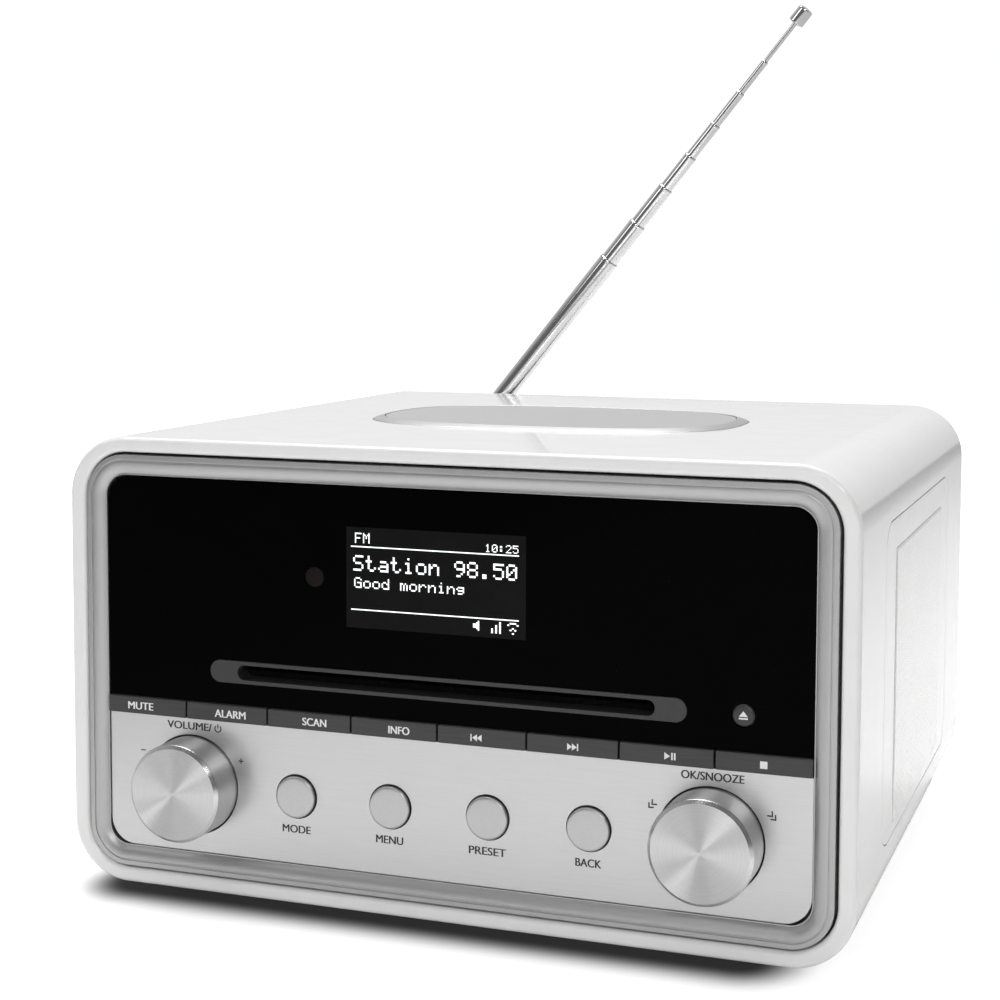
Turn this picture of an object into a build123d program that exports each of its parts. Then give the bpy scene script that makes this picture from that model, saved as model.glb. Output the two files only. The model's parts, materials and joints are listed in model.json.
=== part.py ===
"""Tabletop radio with a slot-loading disc drive, side speakers and a telescopic aerial.

Units are millimetres. The origin is the centre of the footprint on the surface the radio
stands on. +Z is up, +X is to the right of a person facing the radio, and the front faces -Y.
Each sub-part is written to parts/NODE.step.
"""

from build123d import *
import os
from math import cos, sin, pi, radians

# ---------------------------------------------------------------- driving dimensions

WIDTH = 250.0
DEPTH = 230.0
HEIGHT = 142.0  # of the cabinet alone, without its feet
FOOT_HEIGHT = 5.0
CORNER_RADIUS = 19.0
SIDE_WALL = 5.4
DECK_WALL = 4.8
REVEAL = 0.75  # dark gap between the cabinet's mouth and the bezel

FRONT_Y = -DEPTH / 2
BACK_Y = DEPTH / 2
BOTTOM_Z = FOOT_HEIGHT
TOP_Z = FOOT_HEIGHT + HEIGHT

# Front, from the bezel's face inwards.
BEZEL_BAND = 6.45
PANEL_Y = FRONT_Y + 2.0
PANEL_BACK_Y = PANEL_Y + 2.5
FRAME_BACK_Y = PANEL_BACK_Y + 3.0
BOARD_Y = -101.0
BOARD_THICKNESS = 1.6
SWITCH_HEIGHT = 3.1
SWITCH_Y = BOARD_Y - SWITCH_HEIGHT
PUSH_TRAVEL = 0.8
STEM_END_Y = SWITCH_Y - PUSH_TRAVEL - 0.1
CAP_BACK_Y = PANEL_BACK_Y - 1.0
CAP_FRONT_Y = PANEL_Y - 1.5
COLLAR_Y = FRAME_BACK_Y + 0.3
COLLAR_THICKNESS = 1.0
FIT_GAP = 0.2  # between panels and what they lie in

# Rows on the front.
KEY_ROW_Z = 62.2
KEY_ROW_HEIGHT = 5.8
KEY_PITCH = 28.1
KEY_NAMES = ("mute", "alarm", "scan", "info", "previous", "next", "play", "stop")
BUTTON_Z = 38.1
BUTTON_PITCH = 31.3
BUTTON_RADIUS = 6.5
BUTTON_HOLE_RADIUS = 6.95
BUTTON_NAMES = ("mode", "menu", "preset", "back")
KNOB_X = 83.0
KNOB_Z = 38.3
KNOB_RADIUS = 15.3
KNOB_HOLE_RADIUS = 15.9
KNOB_PROUD = 12.5
SHAFT_RADIUS = 3.0
SHAFT_END_Y = -103.0
PLUNGER_FRONT_Y = -106.4
PLUNGER_BACK_Y = -103.4
PLUNGER_RADIUS = 4.44
SLOT_Z = 75.3
SLOT_LENGTH = 133.2
SLOT_HEIGHT = 4.6
TRIM_LENGTH = 152.0
TRIM_HEIGHT = 7.0
EJECT_X = 92.2
EJECT_RADIUS = 3.3
DISPLAY_Z = 106.5
DISPLAY_HALF_X = 35.0
DISPLAY_HALF_Z = 21.5
SENSOR_X = -40.5
SENSOR_Z = 106.5
SENSOR_RADIUS = 3.0

# Sides and top.
GRILLE_LENGTH = 144.0
GRILLE_BOTTOM_Z = 27.0
GRILLE_TOP_Z = 125.4
GRILLE_RADIUS = 10.0
GRILLE_DEPTH = 2.6
FIELD_LENGTH = 102.0
FIELD_BOTTOM_Z = 31.7
FIELD_TOP_Z = 115.0
SPEAKER_Z = (FIELD_BOTTOM_Z + FIELD_TOP_Z) / 2
SPEAKER_RADIUS = 40.0
CONE_RADIUS = 34.0
PAD_HALF_X = 65.0
PAD_HALF_Y = 45.5
PAD_ROUNDNESS = 2.7  # exponent of the pad's superellipse outline
PAD_RING_WIDTH = 4.0
PAD_RECESS = 2.4
PAD_PROUD = 1.2

# Back.
COVER_THICKNESS = 3.0
COVER_FACE_Y = BACK_Y - 3.0
COVER_BACK_Y = COVER_FACE_Y - COVER_THICKNESS
POST_X = 111.0
POST_INSET_Z = 13.4
POST_RADIUS = 7.0
SOCKET_BLOCK = (50.0, 90.0, 26.0, 42.0)  # left, right, bottom, top
BOARD_POST_X = 56.0
BOARD_POST_Y = 62.0
BOARD_LOW_Z = 20.0

# Disc drive.
DISC_RADIUS = 60.0  # of the discs it takes
DRIVE_HALF_X = 74.0
DRIVE_FRONT_Y = -97.0
DRIVE_BACK_Y = 41.0
DRIVE_FLOOR_Z = 62.0
DRIVE_TOP_Z = 84.0
SPINDLE_Y = DRIVE_FRONT_Y + DISC_RADIUS + 4.0
SHEET = 1.5
ROLLER_RADIUS = 3.2
ROLLER_Y = -91.0
ROLLER_Z = SLOT_Z - 0.6 - ROLLER_RADIUS
RAIL_X = 16.0
RAIL_Z = 67.5
RAIL_RADIUS = 1.5

# Aerial.
AERIAL_X = -88.6
AERIAL_Y = 121.5
AERIAL_Z = 117.3
AERIAL_LEAN = 39.1  # degrees from upright, towards +X
TUBE_DIAMETERS = (8.0, 7.0, 6.0, 5.0, 4.2, 3.4, 2.6)
ROD_DIAMETER = 1.8
FIRST_TUBE_END = 110.3  # from the tilt pin to the end of the widest tube
EXPOSED = (19.0, 18.7, 16.2, 16.0, 16.0, 15.5, 18.2)  # of each later section
SECTION_LENGTH = 100.0
TUBE_CLEARANCE = 0.07
TIP_DIAMETER = 6.2
TIP_LENGTH = 7.5


# ---------------------------------------------------------------- helpers


def prism_y(sketch, y0, y1):
    """Extrude a sketch drawn in X and Z from y0 to y1."""
    plane = Plane(origin=(0, y0, 0), x_dir=(1, 0, 0), z_dir=(0, -1, 0))
    return extrude(plane * sketch, amount=y0 - y1)


def prism_x(sketch, x0, x1):
    """Extrude a sketch drawn in Y and Z from x0 to x1."""
    plane = Plane(origin=(x0, 0, 0), x_dir=(0, 1, 0), z_dir=(1, 0, 0))
    return extrude(plane * sketch, amount=x1 - x0)


def rod_y(x, z, radius, y0, y1):
    return prism_y(Pos(x, z) * Circle(radius), y0, y1)


def rod_x(y, z, radius, x0, x1):
    return prism_x(Pos(y, z) * Circle(radius), x0, x1)


def rod_z(x, y, radius, z0, z1):
    return Pos(x, y, (z0 + z1) / 2) * Cylinder(radius, z1 - z0)


def block(x0, x1, y0, y1, z0, z1):
    centre = Pos((x0 + x1) / 2, (y0 + y1) / 2, (z0 + z1) / 2)
    return centre * Box(x1 - x0, y1 - y0, z1 - z0)


def rounded(x0, x1, z0, z1, radius):
    return Pos((x0 + x1) / 2, (z0 + z1) / 2) * RectangleRounded(x1 - x0, z1 - z0, radius)


def rectangle(x0, x1, z0, z1):
    return Pos((x0 + x1) / 2, (z0 + z1) / 2) * Rectangle(x1 - x0, z1 - z0)


def edges_at_y(solid, y):
    """The edges of a solid that lie wholly in the plane at y."""
    found = []
    for edge in solid.edges():
        box = edge.bounding_box()
        if abs(box.min.Y - y) < 1e-4 and abs(box.max.Y - y) < 1e-4:
            found.append(edge)
    return found


def mirrored(solid):
    return mirror(solid, about=Plane.YZ)


def inset_outline(side, deck, radius):
    """The cabinet's section, drawn smaller by side on left and right and deck above and below."""
    half = WIDTH / 2
    return rounded(side - half, half - side, BOTTOM_Z + deck, TOP_Z - deck, radius)


def pad_outline(half_x, half_y):
    """A superellipse face centred on the deck."""
    points = []
    steps = 40
    for i in range(steps):
        angle = 2 * pi * (i + 0.5) / steps
        across = cos(angle)
        along = sin(angle)
        x = half_x * abs(across) ** (2 / PAD_ROUNDNESS) * (1 if across > 0 else -1)
        y = half_y * abs(along) ** (2 / PAD_ROUNDNESS) * (1 if along > 0 else -1)
        points.append((x, y))
    return make_face(Spline(*points, periodic=True))


def pad_block(half_x, half_y, z0, z1):
    return extrude(Pos(0, 0, z0) * pad_outline(half_x, half_y), amount=z1 - z0)


BUTTON_X = [BUTTON_PITCH * (i - 1.5) for i in range(len(BUTTON_NAMES))]
KEY_X = [KEY_PITCH * (i - 3.5) for i in range(len(KEY_NAMES))]
BEZEL_SIDE = SIDE_WALL + REVEAL
BEZEL_DECK = DECK_WALL + REVEAL
COVER_SCREWS = [
    (x, z)
    for x in (-POST_X, POST_X)
    for z in (BOTTOM_Z + POST_INSET_Z, TOP_Z - POST_INSET_Z)
]


# ---------------------------------------------------------------- cabinet


def cabinet_shell():
    """One moulded sleeve, open at the front and the back, with its posts inside."""
    outer = prism_y(inset_outline(0, 0, CORNER_RADIUS), FRONT_Y, BACK_Y)
    outer = fillet(edges_at_y(outer, FRONT_Y) + edges_at_y(outer, BACK_Y), 1.4)
    inner = inset_outline(SIDE_WALL, DECK_WALL, CORNER_RADIUS - DECK_WALL)
    shell = outer - prism_y(inner, FRONT_Y - 1, BACK_Y + 1)
    for x, z in COVER_SCREWS:
        post = rod_y(x, z, POST_RADIUS, COVER_BACK_Y - 17, COVER_BACK_Y)
        shell += post
        shell -= rod_y(x, z, 1.55, COVER_BACK_Y - 14, COVER_BACK_Y + 1)
    for x in (-BOARD_POST_X, BOARD_POST_X):
        for y in (-BOARD_POST_Y, BOARD_POST_Y):
            shell += rod_z(x, y, 3.5, BOTTOM_Z + DECK_WALL - 0.5, BOARD_LOW_Z)
    pocket = rounded(
        -GRILLE_LENGTH / 2, GRILLE_LENGTH / 2, GRILLE_BOTTOM_Z, GRILLE_TOP_Z, GRILLE_RADIUS
    )
    half = WIDTH / 2
    pocket = prism_x(pocket, half - GRILLE_DEPTH, half + 1)
    mouth = rod_x(0, SPEAKER_Z, CONE_RADIUS + 0.5, half - SIDE_WALL - 1, half)
    shell -= pocket + mouth
    shell -= mirrored(pocket + mouth)
    return shell - pad_block(PAD_HALF_X, PAD_HALF_Y, TOP_Z - PAD_RECESS, TOP_Z + 1)


def feet():
    solids = []
    for x in (-95, 95):
        for y in (-88, 88):
            foot = rod_z(x, y, 8, 0, BOTTOM_Z)
            solids.append(chamfer(foot.edges().sort_by(Axis.Z)[0], 0.6))
    return Compound(solids)


def rear_cover():
    outline = inset_outline(SIDE_WALL + 0.3, DECK_WALL + 0.3, CORNER_RADIUS - DECK_WALL - 0.3)
    cover = prism_y(outline, COVER_BACK_Y, COVER_FACE_Y)
    cuts = [rod_y(AERIAL_X, AERIAL_Z, SHAFT_RADIUS + 0.5, COVER_BACK_Y - 1, BACK_Y)]
    for x, z in COVER_SCREWS:
        cuts.append(rod_y(x, z, 1.7, COVER_BACK_Y - 1, BACK_Y))
    left, right, low, high = SOCKET_BLOCK
    window = rectangle(left - FIT_GAP, right + FIT_GAP, low - FIT_GAP, high + FIT_GAP)
    cuts.append(prism_y(window, COVER_BACK_Y - 1, BACK_Y))
    vent = SlotOverall(46, 2.4)
    for i in range(7):
        cuts.append(prism_y(Pos(8, 92 + 6 * i) * vent, COVER_BACK_Y - 1, BACK_Y))
    for cut in cuts:
        cover -= cut
    return cover


def cover_screws():
    solids = []
    for x, z in COVER_SCREWS:
        head = rod_y(x, z, 3.0, COVER_FACE_Y, COVER_FACE_Y + 2)
        head = fillet(edges_at_y(head, COVER_FACE_Y + 2), 0.8)
        cross = rectangle(x - 1.5, x + 1.5, z - 0.3, z + 0.3) + rectangle(
            x - 0.3, x + 0.3, z - 1.5, z + 1.5
        )
        head -= prism_y(cross, COVER_FACE_Y + 1.2, COVER_FACE_Y + 3)
        solids.append(head + rod_y(x, z, 1.5, COVER_BACK_Y - 9, COVER_FACE_Y))
    return Compound(solids)


def right_grille():
    """The perforated panel let into the cabinet's right side, its holes drawn coarse."""
    gap = FIT_GAP + 0.1
    half = GRILLE_LENGTH / 2 - gap
    outline = rounded(
        -half, half, GRILLE_BOTTOM_Z + gap, GRILLE_TOP_Z - gap, GRILLE_RADIUS - gap
    )
    face = WIDTH / 2
    panel = prism_x(outline, face - GRILLE_DEPTH, face)
    rows = 9
    columns = 11
    hole = Circle(1.6)
    holes = []
    for row in range(rows):
        z = FIELD_BOTTOM_Z + (row + 0.5) * (FIELD_TOP_Z - FIELD_BOTTOM_Z) / rows
        for column in range(columns):
            y = FIELD_LENGTH * ((column + 0.5) / columns - 0.5)
            holes.append(Pos(y, z) * hole)
    return panel - prism_x(Sketch() + holes, face - GRILLE_DEPTH - 1, face + 1)


def charging_pad():
    half_x = PAD_HALF_X - PAD_RING_WIDTH
    half_y = PAD_HALF_Y - PAD_RING_WIDTH
    pad = pad_block(half_x, half_y, TOP_Z - PAD_RECESS, TOP_Z + PAD_PROUD)
    return fillet(pad.edges().sort_by(Axis.Z)[-1], 0.4)


def pad_ring():
    ring = pad_block(PAD_HALF_X - 0.1, PAD_HALF_Y - 0.1, TOP_Z - PAD_RECESS, TOP_Z + PAD_PROUD)
    ring = chamfer(ring.edges().sort_by(Axis.Z)[-1], 0.9, 2.4)
    half_x = PAD_HALF_X - PAD_RING_WIDTH + 0.1
    half_y = PAD_HALF_Y - PAD_RING_WIDTH + 0.1
    return ring - pad_block(half_x, half_y, TOP_Z - PAD_RECESS - 1, TOP_Z + PAD_PROUD + 1)


def charging_coil():
    """The transmitter's coil, its ferrite and its board, hung under the deck."""
    deck = TOP_Z - DECK_WALL
    coil = rod_z(0, 0, 22, deck - 1.2, deck) - rod_z(0, 0, 10, deck - 2, deck + 1)
    ferrite = block(-26, 26, -26, 26, deck - 2.2, deck - 1.2)
    board = block(-32, 32, -30, 30, deck - 3.8, deck - 2.2)
    driver = block(8, 20, -6, 6, deck - 6.2, deck - 3.8)
    return Compound([coil, ferrite, board, driver])


# ---------------------------------------------------------------- front


def display_rectangle(grow):
    half_x = DISPLAY_HALF_X + grow
    half_z = DISPLAY_HALF_Z + grow
    return rectangle(-half_x, half_x, DISPLAY_Z - half_z, DISPLAY_Z + half_z)


def front_frame():
    """The black moulding that carries the bezel, both panels and every control."""
    outline = inset_outline(SIDE_WALL + 0.3, DECK_WALL + 0.3, CORNER_RADIUS - DECK_WALL - 0.3)
    frame = prism_y(outline, PANEL_BACK_Y, FRAME_BACK_Y)
    back = FRAME_BACK_Y + 1
    front = PANEL_BACK_Y - 1
    openings = Sketch() + [
        Pos(0, SLOT_Z) * SlotOverall(TRIM_LENGTH - 1.6, TRIM_HEIGHT - 0.2),
        display_rectangle(FIT_GAP),
        Pos(EJECT_X, SLOT_Z) * Circle(1.7),
        Pos(SENSOR_X, SENSOR_Z) * Circle(SENSOR_RADIUS),
    ]
    openings += [Pos(x, BUTTON_Z) * Circle(2.6) for x in BUTTON_X]
    openings += [Pos(x, KEY_ROW_Z) * Rectangle(8.2, 3.2) for x in KEY_X]
    openings += [Pos(x, KNOB_Z) * Circle(SHAFT_RADIUS + 0.5) for x in (-KNOB_X, KNOB_X)]
    return frame - prism_y(openings, front, back)


def bezel_inner(gap):
    side = BEZEL_SIDE + BEZEL_BAND + gap
    deck = BEZEL_DECK + BEZEL_BAND - 0.1 + gap
    return inset_outline(side, deck, 8.5 - gap)


def bezel_ring():
    outer = prism_y(inset_outline(BEZEL_SIDE, BEZEL_DECK, 13), FRONT_Y, PANEL_BACK_Y)
    outer = fillet(edges_at_y(outer, FRONT_Y), 0.8)
    ring = outer - prism_y(bezel_inner(0), FRONT_Y - 1, PANEL_BACK_Y + 1)
    inner_edges = [e for e in edges_at_y(ring, FRONT_Y) if e.bounding_box().size.X < 225.5]
    return chamfer(inner_edges, 1.5, 1.5)


def display_panel():
    low = KEY_ROW_Z + KEY_ROW_HEIGHT / 2
    outline = bezel_inner(FIT_GAP) & rectangle(-WIDTH, WIDTH, low, TOP_Z)
    outline -= Pos(0, SLOT_Z) * SlotOverall(TRIM_LENGTH - 1.8, TRIM_HEIGHT - 0.4)
    outline -= Pos(EJECT_X, SLOT_Z) * Circle(EJECT_RADIUS + 0.3)
    outline -= Pos(SENSOR_X, SENSOR_Z) * Circle(SENSOR_RADIUS)
    return prism_y(outline, PANEL_Y, PANEL_BACK_Y)


def control_panel():
    high = KEY_ROW_Z - KEY_ROW_HEIGHT / 2
    outline = bezel_inner(FIT_GAP) & rectangle(-WIDTH, WIDTH, 0, high)
    for x in BUTTON_X:
        outline -= Pos(x, BUTTON_Z) * Circle(BUTTON_HOLE_RADIUS)
    for x in (-KNOB_X, KNOB_X):
        outline -= Pos(x, KNOB_Z) * Circle(KNOB_HOLE_RADIUS)
    return prism_y(outline, PANEL_Y, PANEL_BACK_Y)


def ir_window():
    return rod_y(SENSOR_X, SENSOR_Z, SENSOR_RADIUS, PANEL_Y, PANEL_BACK_Y)


def slot_trim():
    """The stadium-shaped collar round the disc slot."""
    flange = Pos(0, SLOT_Z) * SlotOverall(TRIM_LENGTH, TRIM_HEIGHT)
    sleeve = Pos(0, SLOT_Z) * SlotOverall(TRIM_LENGTH - 2, TRIM_HEIGHT - 0.6)
    mouth = Pos(0, SLOT_Z) * RectangleRounded(SLOT_LENGTH, SLOT_HEIGHT, 1.2)
    face_y = PANEL_Y - 0.8
    rim = fillet(edges_at_y(prism_y(flange, face_y, PANEL_Y), face_y), 0.4)
    trim = rim + prism_y(sleeve, PANEL_Y, FRAME_BACK_Y + 0.5)
    return trim - prism_y(mouth, face_y - 1, FRAME_BACK_Y + 2)


def dust_curtain():
    """Two felt strips behind the slot that leave a slit for the disc."""
    y0 = FRAME_BACK_Y + 0.5
    upper = block(-70, 70, y0, y0 + 0.8, SLOT_Z + 0.5, SLOT_Z + 3.1)
    lower = block(-70, 70, y0, y0 + 0.8, SLOT_Z - 3.1, SLOT_Z - 0.5)
    return Compound([upper, lower])


def display_module():
    """The display's glass cell in its housing, close behind the panel."""
    cell_back_y = PANEL_BACK_Y + 1.6
    housing = prism_y(display_rectangle(0), cell_back_y, BOARD_Y - 2)
    cell = prism_y(display_rectangle(-3), PANEL_BACK_Y, cell_back_y)
    return Compound([housing, cell])


# ---------------------------------------------------------------- controls


def round_button(x):
    """A domed cap, its stem through the frame and the collar that keeps it in."""
    cap = rod_y(x, BUTTON_Z, BUTTON_RADIUS, CAP_FRONT_Y, CAP_BACK_Y)
    cap = fillet(edges_at_y(cap, CAP_FRONT_Y), 1.1)
    stem = rod_y(x, BUTTON_Z, 2.52, CAP_BACK_Y, STEM_END_Y)
    collar = rod_y(x, BUTTON_Z, 3.3, COLLAR_Y, COLLAR_Y + COLLAR_THICKNESS)
    return cap + stem + collar


def strip_key(x):
    """One key of the row, with a flat stem and a snap lug above and below it."""
    half_width = KEY_PITCH / 2 - 0.25
    half_height = KEY_ROW_HEIGHT / 2 - FIT_GAP
    outline = rectangle(x - half_width, x + half_width, KEY_ROW_Z - half_height,
                        KEY_ROW_Z + half_height)
    cap = prism_y(outline, CAP_FRONT_Y, CAP_BACK_Y)
    cap = fillet(edges_at_y(cap, CAP_FRONT_Y), 0.4)
    stem = block(x - 4, x + 4, CAP_BACK_Y, STEM_END_Y, KEY_ROW_Z - 1.5, KEY_ROW_Z + 1.5)
    lug_back_y = COLLAR_Y + COLLAR_THICKNESS
    lug = block(x - 4, x + 4, COLLAR_Y, lug_back_y, KEY_ROW_Z - 2.2, KEY_ROW_Z + 2.2)
    return cap + stem + lug


def eject_button():
    front = PANEL_Y - 0.4
    cap = rod_y(EJECT_X, SLOT_Z, EJECT_RADIUS, front, CAP_BACK_Y)
    cap = fillet(edges_at_y(cap, front), 0.3)
    stem = rod_y(EJECT_X, SLOT_Z, 1.62, CAP_BACK_Y, STEM_END_Y)
    collar = rod_y(EJECT_X, SLOT_Z, 2.4, COLLAR_Y, COLLAR_Y + COLLAR_THICKNESS)
    return cap + stem + collar


def knob(x):
    """The turned knob, and the encoder's shaft pressed into it."""
    front = PANEL_Y - KNOB_PROUD
    back = PANEL_BACK_Y - 1.1
    body = rod_y(x, KNOB_Z, KNOB_RADIUS, front, back)
    body = chamfer(edges_at_y(body, front), 0.8)
    body -= rod_y(x, KNOB_Z, KNOB_RADIUS - 2, back - 3, back + 1)
    body += rod_y(x, KNOB_Z, 6, back - 3, back)
    body -= rod_y(x, KNOB_Z, SHAFT_RADIUS, front + 3, back + 1)
    shaft = rod_y(x, KNOB_Z, SHAFT_RADIUS, front + 3, SHAFT_END_Y)
    return Compound([body, shaft])


def plunger(x):
    """The sleeve inside the encoder that the shaft turns in and that a push moves inwards."""
    sleeve = rod_y(x, KNOB_Z, PLUNGER_RADIUS, PLUNGER_FRONT_Y, PLUNGER_BACK_Y)
    bore = rod_y(x, KNOB_Z, SHAFT_RADIUS + 0.05, PLUNGER_FRONT_Y - 1, PLUNGER_BACK_Y + 1)
    return sleeve - bore


def rotary_encoders():
    solids = []
    for x in (-KNOB_X, KNOB_X):
        body = block(x - 7, x + 7, FRAME_BACK_Y, BOARD_Y, KNOB_Z - 7, KNOB_Z + 7)
        solids.append(body - rod_y(x, KNOB_Z, PLUNGER_RADIUS + 0.06, FRAME_BACK_Y - 1, BOARD_Y - 1.2))
    return Compound(solids)


def tact_switches():
    places = [(x, BUTTON_Z) for x in BUTTON_X] + [(x, KEY_ROW_Z) for x in KEY_X]
    places.append((EJECT_X, SLOT_Z))
    solids = []
    for x, z in places:
        body = block(x - 3, x + 3, BOARD_Y - 2, BOARD_Y, z - 3, z + 3)
        solids.append(body + rod_y(x, z, 1.7, SWITCH_Y, BOARD_Y - 2))
    return Compound(solids)


def control_board():
    main = block(-110, 110, BOARD_Y, BOARD_Y + BOARD_THICKNESS, 20, 67.5)
    tab = block(84, 101, BOARD_Y, BOARD_Y + BOARD_THICKNESS, 67, 82)
    return main + tab


# ---------------------------------------------------------------- disc drive


def drive_chassis():
    """Folded sheet tray on two legs."""
    half = DRIVE_HALF_X
    walls = block(-half, half, DRIVE_FRONT_Y, DRIVE_BACK_Y, DRIVE_FLOOR_Z, DRIVE_TOP_Z)
    walls -= block(
        SHEET - half,
        half - SHEET,
        DRIVE_FRONT_Y + SHEET,
        DRIVE_BACK_Y - SHEET,
        DRIVE_FLOOR_Z + SHEET,
        DRIVE_TOP_Z + 1,
    )
    walls -= block(
        SHEET - half, half - SHEET, DRIVE_FRONT_Y - 1, DRIVE_FRONT_Y + 3, SLOT_Z - 4.5, DRIVE_TOP_Z + 1
    )
    walls -= rod_x(ROLLER_Y, ROLLER_Z, 1.56, -half - 1, half + 1)
    leg = block(-half, SHEET - half, -80, 25, BOTTOM_Z + DECK_WALL, DRIVE_FLOOR_Z + 1)
    foot = block(-half, 12 - half, -80, 25, BOTTOM_Z + DECK_WALL, BOTTOM_Z + DECK_WALL + SHEET)
    window = block(-half - 1, SHEET + 1 - half, -60, 5, 24, 52)
    side = leg + foot - window
    return walls + side + mirrored(side)


def drive_rails():
    """The sled's two rails in their posts, and the spindle motor between them."""
    motor = rod_z(0, SPINDLE_Y, 12, DRIVE_FLOOR_Z + SHEET, 69)
    motor -= rod_z(0, SPINDLE_Y, 1.05, 64.5, 70)
    solids = [motor]
    for x in (-RAIL_X, RAIL_X):
        for y in (SPINDLE_Y + 15.5, DRIVE_BACK_Y - SHEET - 2):
            post = block(x - 3, x + 3, y, y + 2, DRIVE_FLOOR_Z + SHEET, RAIL_Z + 2.5)
            solids.append(post - rod_y(x, RAIL_Z, RAIL_RADIUS, y - 1, y + 3))
        solids.append(rod_y(x, RAIL_Z, RAIL_RADIUS, SPINDLE_Y + 15.5, DRIVE_BACK_Y - SHEET))
    return Compound(solids)


def drive_lid():
    """The tray's lid, with the clamp that holds a disc down on the turntable."""
    lid = block(
        -DRIVE_HALF_X, DRIVE_HALF_X, DRIVE_FRONT_Y, DRIVE_BACK_Y, DRIVE_TOP_Z, DRIVE_TOP_Z + 1.2
    )
    clamp = rod_z(0, SPINDLE_Y, 16, SLOT_Z + 3.4, DRIVE_TOP_Z)
    clamp -= rod_z(0, SPINDLE_Y, 9, SLOT_Z + 3, SLOT_Z + 6)
    return lid + clamp


def loading_roller():
    shaft = rod_x(ROLLER_Y, ROLLER_Z, 1.5, -DRIVE_HALF_X - 1.5, DRIVE_HALF_X + 1.5)
    rubber = rod_x(ROLLER_Y, ROLLER_Z, ROLLER_RADIUS, -60, 60)
    return rubber + shaft


def turntable():
    platter = rod_z(0, SPINDLE_Y, 14, 70, SLOT_Z - 0.9)
    spigot = rod_z(0, SPINDLE_Y, 7.3, SLOT_Z - 0.9, SLOT_Z + 1.7)
    spigot = chamfer(spigot.edges().sort_by(Axis.Z)[-1], 1)
    return platter + spigot + rod_z(0, SPINDLE_Y, 1.0, 65, 70)


def laser_sled():
    """The optical sled on its two rails, parked next to the turntable."""
    y0 = SPINDLE_Y + 18
    body = block(-RAIL_X - 4, RAIL_X + 4, y0, y0 + 17, RAIL_Z - 2.6, RAIL_Z + 2.6)
    for x in (-RAIL_X, RAIL_X):
        body -= rod_y(x, RAIL_Z, RAIL_RADIUS + 0.06, y0 - 1, y0 + 18)
    lens = rod_z(0, y0 + 5, 3.2, RAIL_Z + 2.6, RAIL_Z + 4.4)
    return body + fillet(lens.edges().sort_by(Axis.Z)[-1], 0.5)


# ---------------------------------------------------------------- speakers


def speaker_basket():
    """Right-hand driver: flange, basket and magnet, facing out through the side wall."""
    face = WIDTH / 2 - SIDE_WALL
    turned = make_face(
        Polyline(
            (face, CONE_RADIUS + 1),
            (face, SPEAKER_RADIUS),
            (face - 2.5, SPEAKER_RADIUS),
            (face - 6, CONE_RADIUS + 2.5),
            (face - 22, 20),
            (face - 24, 20),
            (face - 24, 18),
            (face - 36, 18),
            (face - 36, 0),
            (face - 33, 0),
            (face - 33, 14),
            (face - 22, 14),
            (face - 21, 18.5),
            (face - 5, CONE_RADIUS + 1),
            close=True,
        )
    )
    solid = revolve(Plane(origin=(0, 0, SPEAKER_Z), x_dir=(1, 0, 0), z_dir=(0, -1, 0)) * turned,
                    axis=Axis((0, 0, SPEAKER_Z), (1, 0, 0)))
    pole = rod_x(0, SPEAKER_Z, 8.0, face - 34, face - 20)
    return solid + pole


def speaker_cone():
    """The cone with its half-roll surround, dust cap and voice coil."""
    face = WIDTH / 2 - SIDE_WALL
    turned = make_face(
        Polyline(
            (face - 0.6, CONE_RADIUS - 0.4),
            (face + 0.6, CONE_RADIUS - 2.4),
            (face - 0.8, CONE_RADIUS - 5),
            (face - 14, 12),
            (face - 12, 8),
            (face - 10.5, 0),
            (face - 11.5, 0),
            (face - 14, 9),
            (face - 28, 9),
            (face - 28, 10),
            (face - 16, 10),
            (face - 15, 12),
            (face - 2.2, CONE_RADIUS - 5),
            (face - 1.8, CONE_RADIUS - 0.4),
            close=True,
        )
    )
    plane = Plane(origin=(0, 0, SPEAKER_Z), x_dir=(1, 0, 0), z_dir=(0, -1, 0))
    return revolve(plane * turned, axis=Axis((0, 0, SPEAKER_Z), (1, 0, 0)))


# ---------------------------------------------------------------- electronics at the back


def main_board():
    top = BOARD_LOW_Z + BOARD_THICKNESS
    board = block(-62, 62, -70, 70, BOARD_LOW_Z, top)
    solids = [board]
    solids.append(block(-60, -20, 20, 55, top, top + 7))  # tuner can
    solids.append(block(10, 60, -10, -2, top, top + 22))  # amplifier heat sink
    solids.append(block(-50, -22, -50, -22, top, top + 2))  # processor
    for x in (20, 34, 48):
        solids.append(rod_z(x, 25, 5, top, top + 16))
    solids.append(block(30, 60, 52, 64, top, top + 9))
    return Compound(solids)


def rear_sockets():
    """Power inlet with its centre pin, line input and headphone socket in one block."""
    left, right, low, high = SOCKET_BLOCK
    z = (low + high) / 2
    body = block(left, right, COVER_FACE_Y - 14, COVER_FACE_Y, low, high)
    body -= rod_y(left + 10, z, 2.75, COVER_FACE_Y - 10, COVER_FACE_Y + 1)
    body += rod_y(left + 10, z, 1.0, COVER_FACE_Y - 10.5, COVER_FACE_Y - 1)
    for x in (left + 22, left + 32):
        body -= rod_y(x, z, 1.8, COVER_FACE_Y - 13, COVER_FACE_Y + 1)
    return body


# ---------------------------------------------------------------- aerial

# Local axes of the aerial: Z along its tubes, Y away from the cabinet's back.
AERIAL = Plane(
    origin=(AERIAL_X, AERIAL_Y, AERIAL_Z),
    x_dir=(cos(radians(AERIAL_LEAN)), 0, -sin(radians(AERIAL_LEAN))),
    z_dir=(sin(radians(AERIAL_LEAN)), 0, cos(radians(AERIAL_LEAN))),
)
MOUNT_FACE = BACK_Y + 0.5 - AERIAL_Y
DISC_FACE = MOUNT_FACE + 1.6


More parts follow.
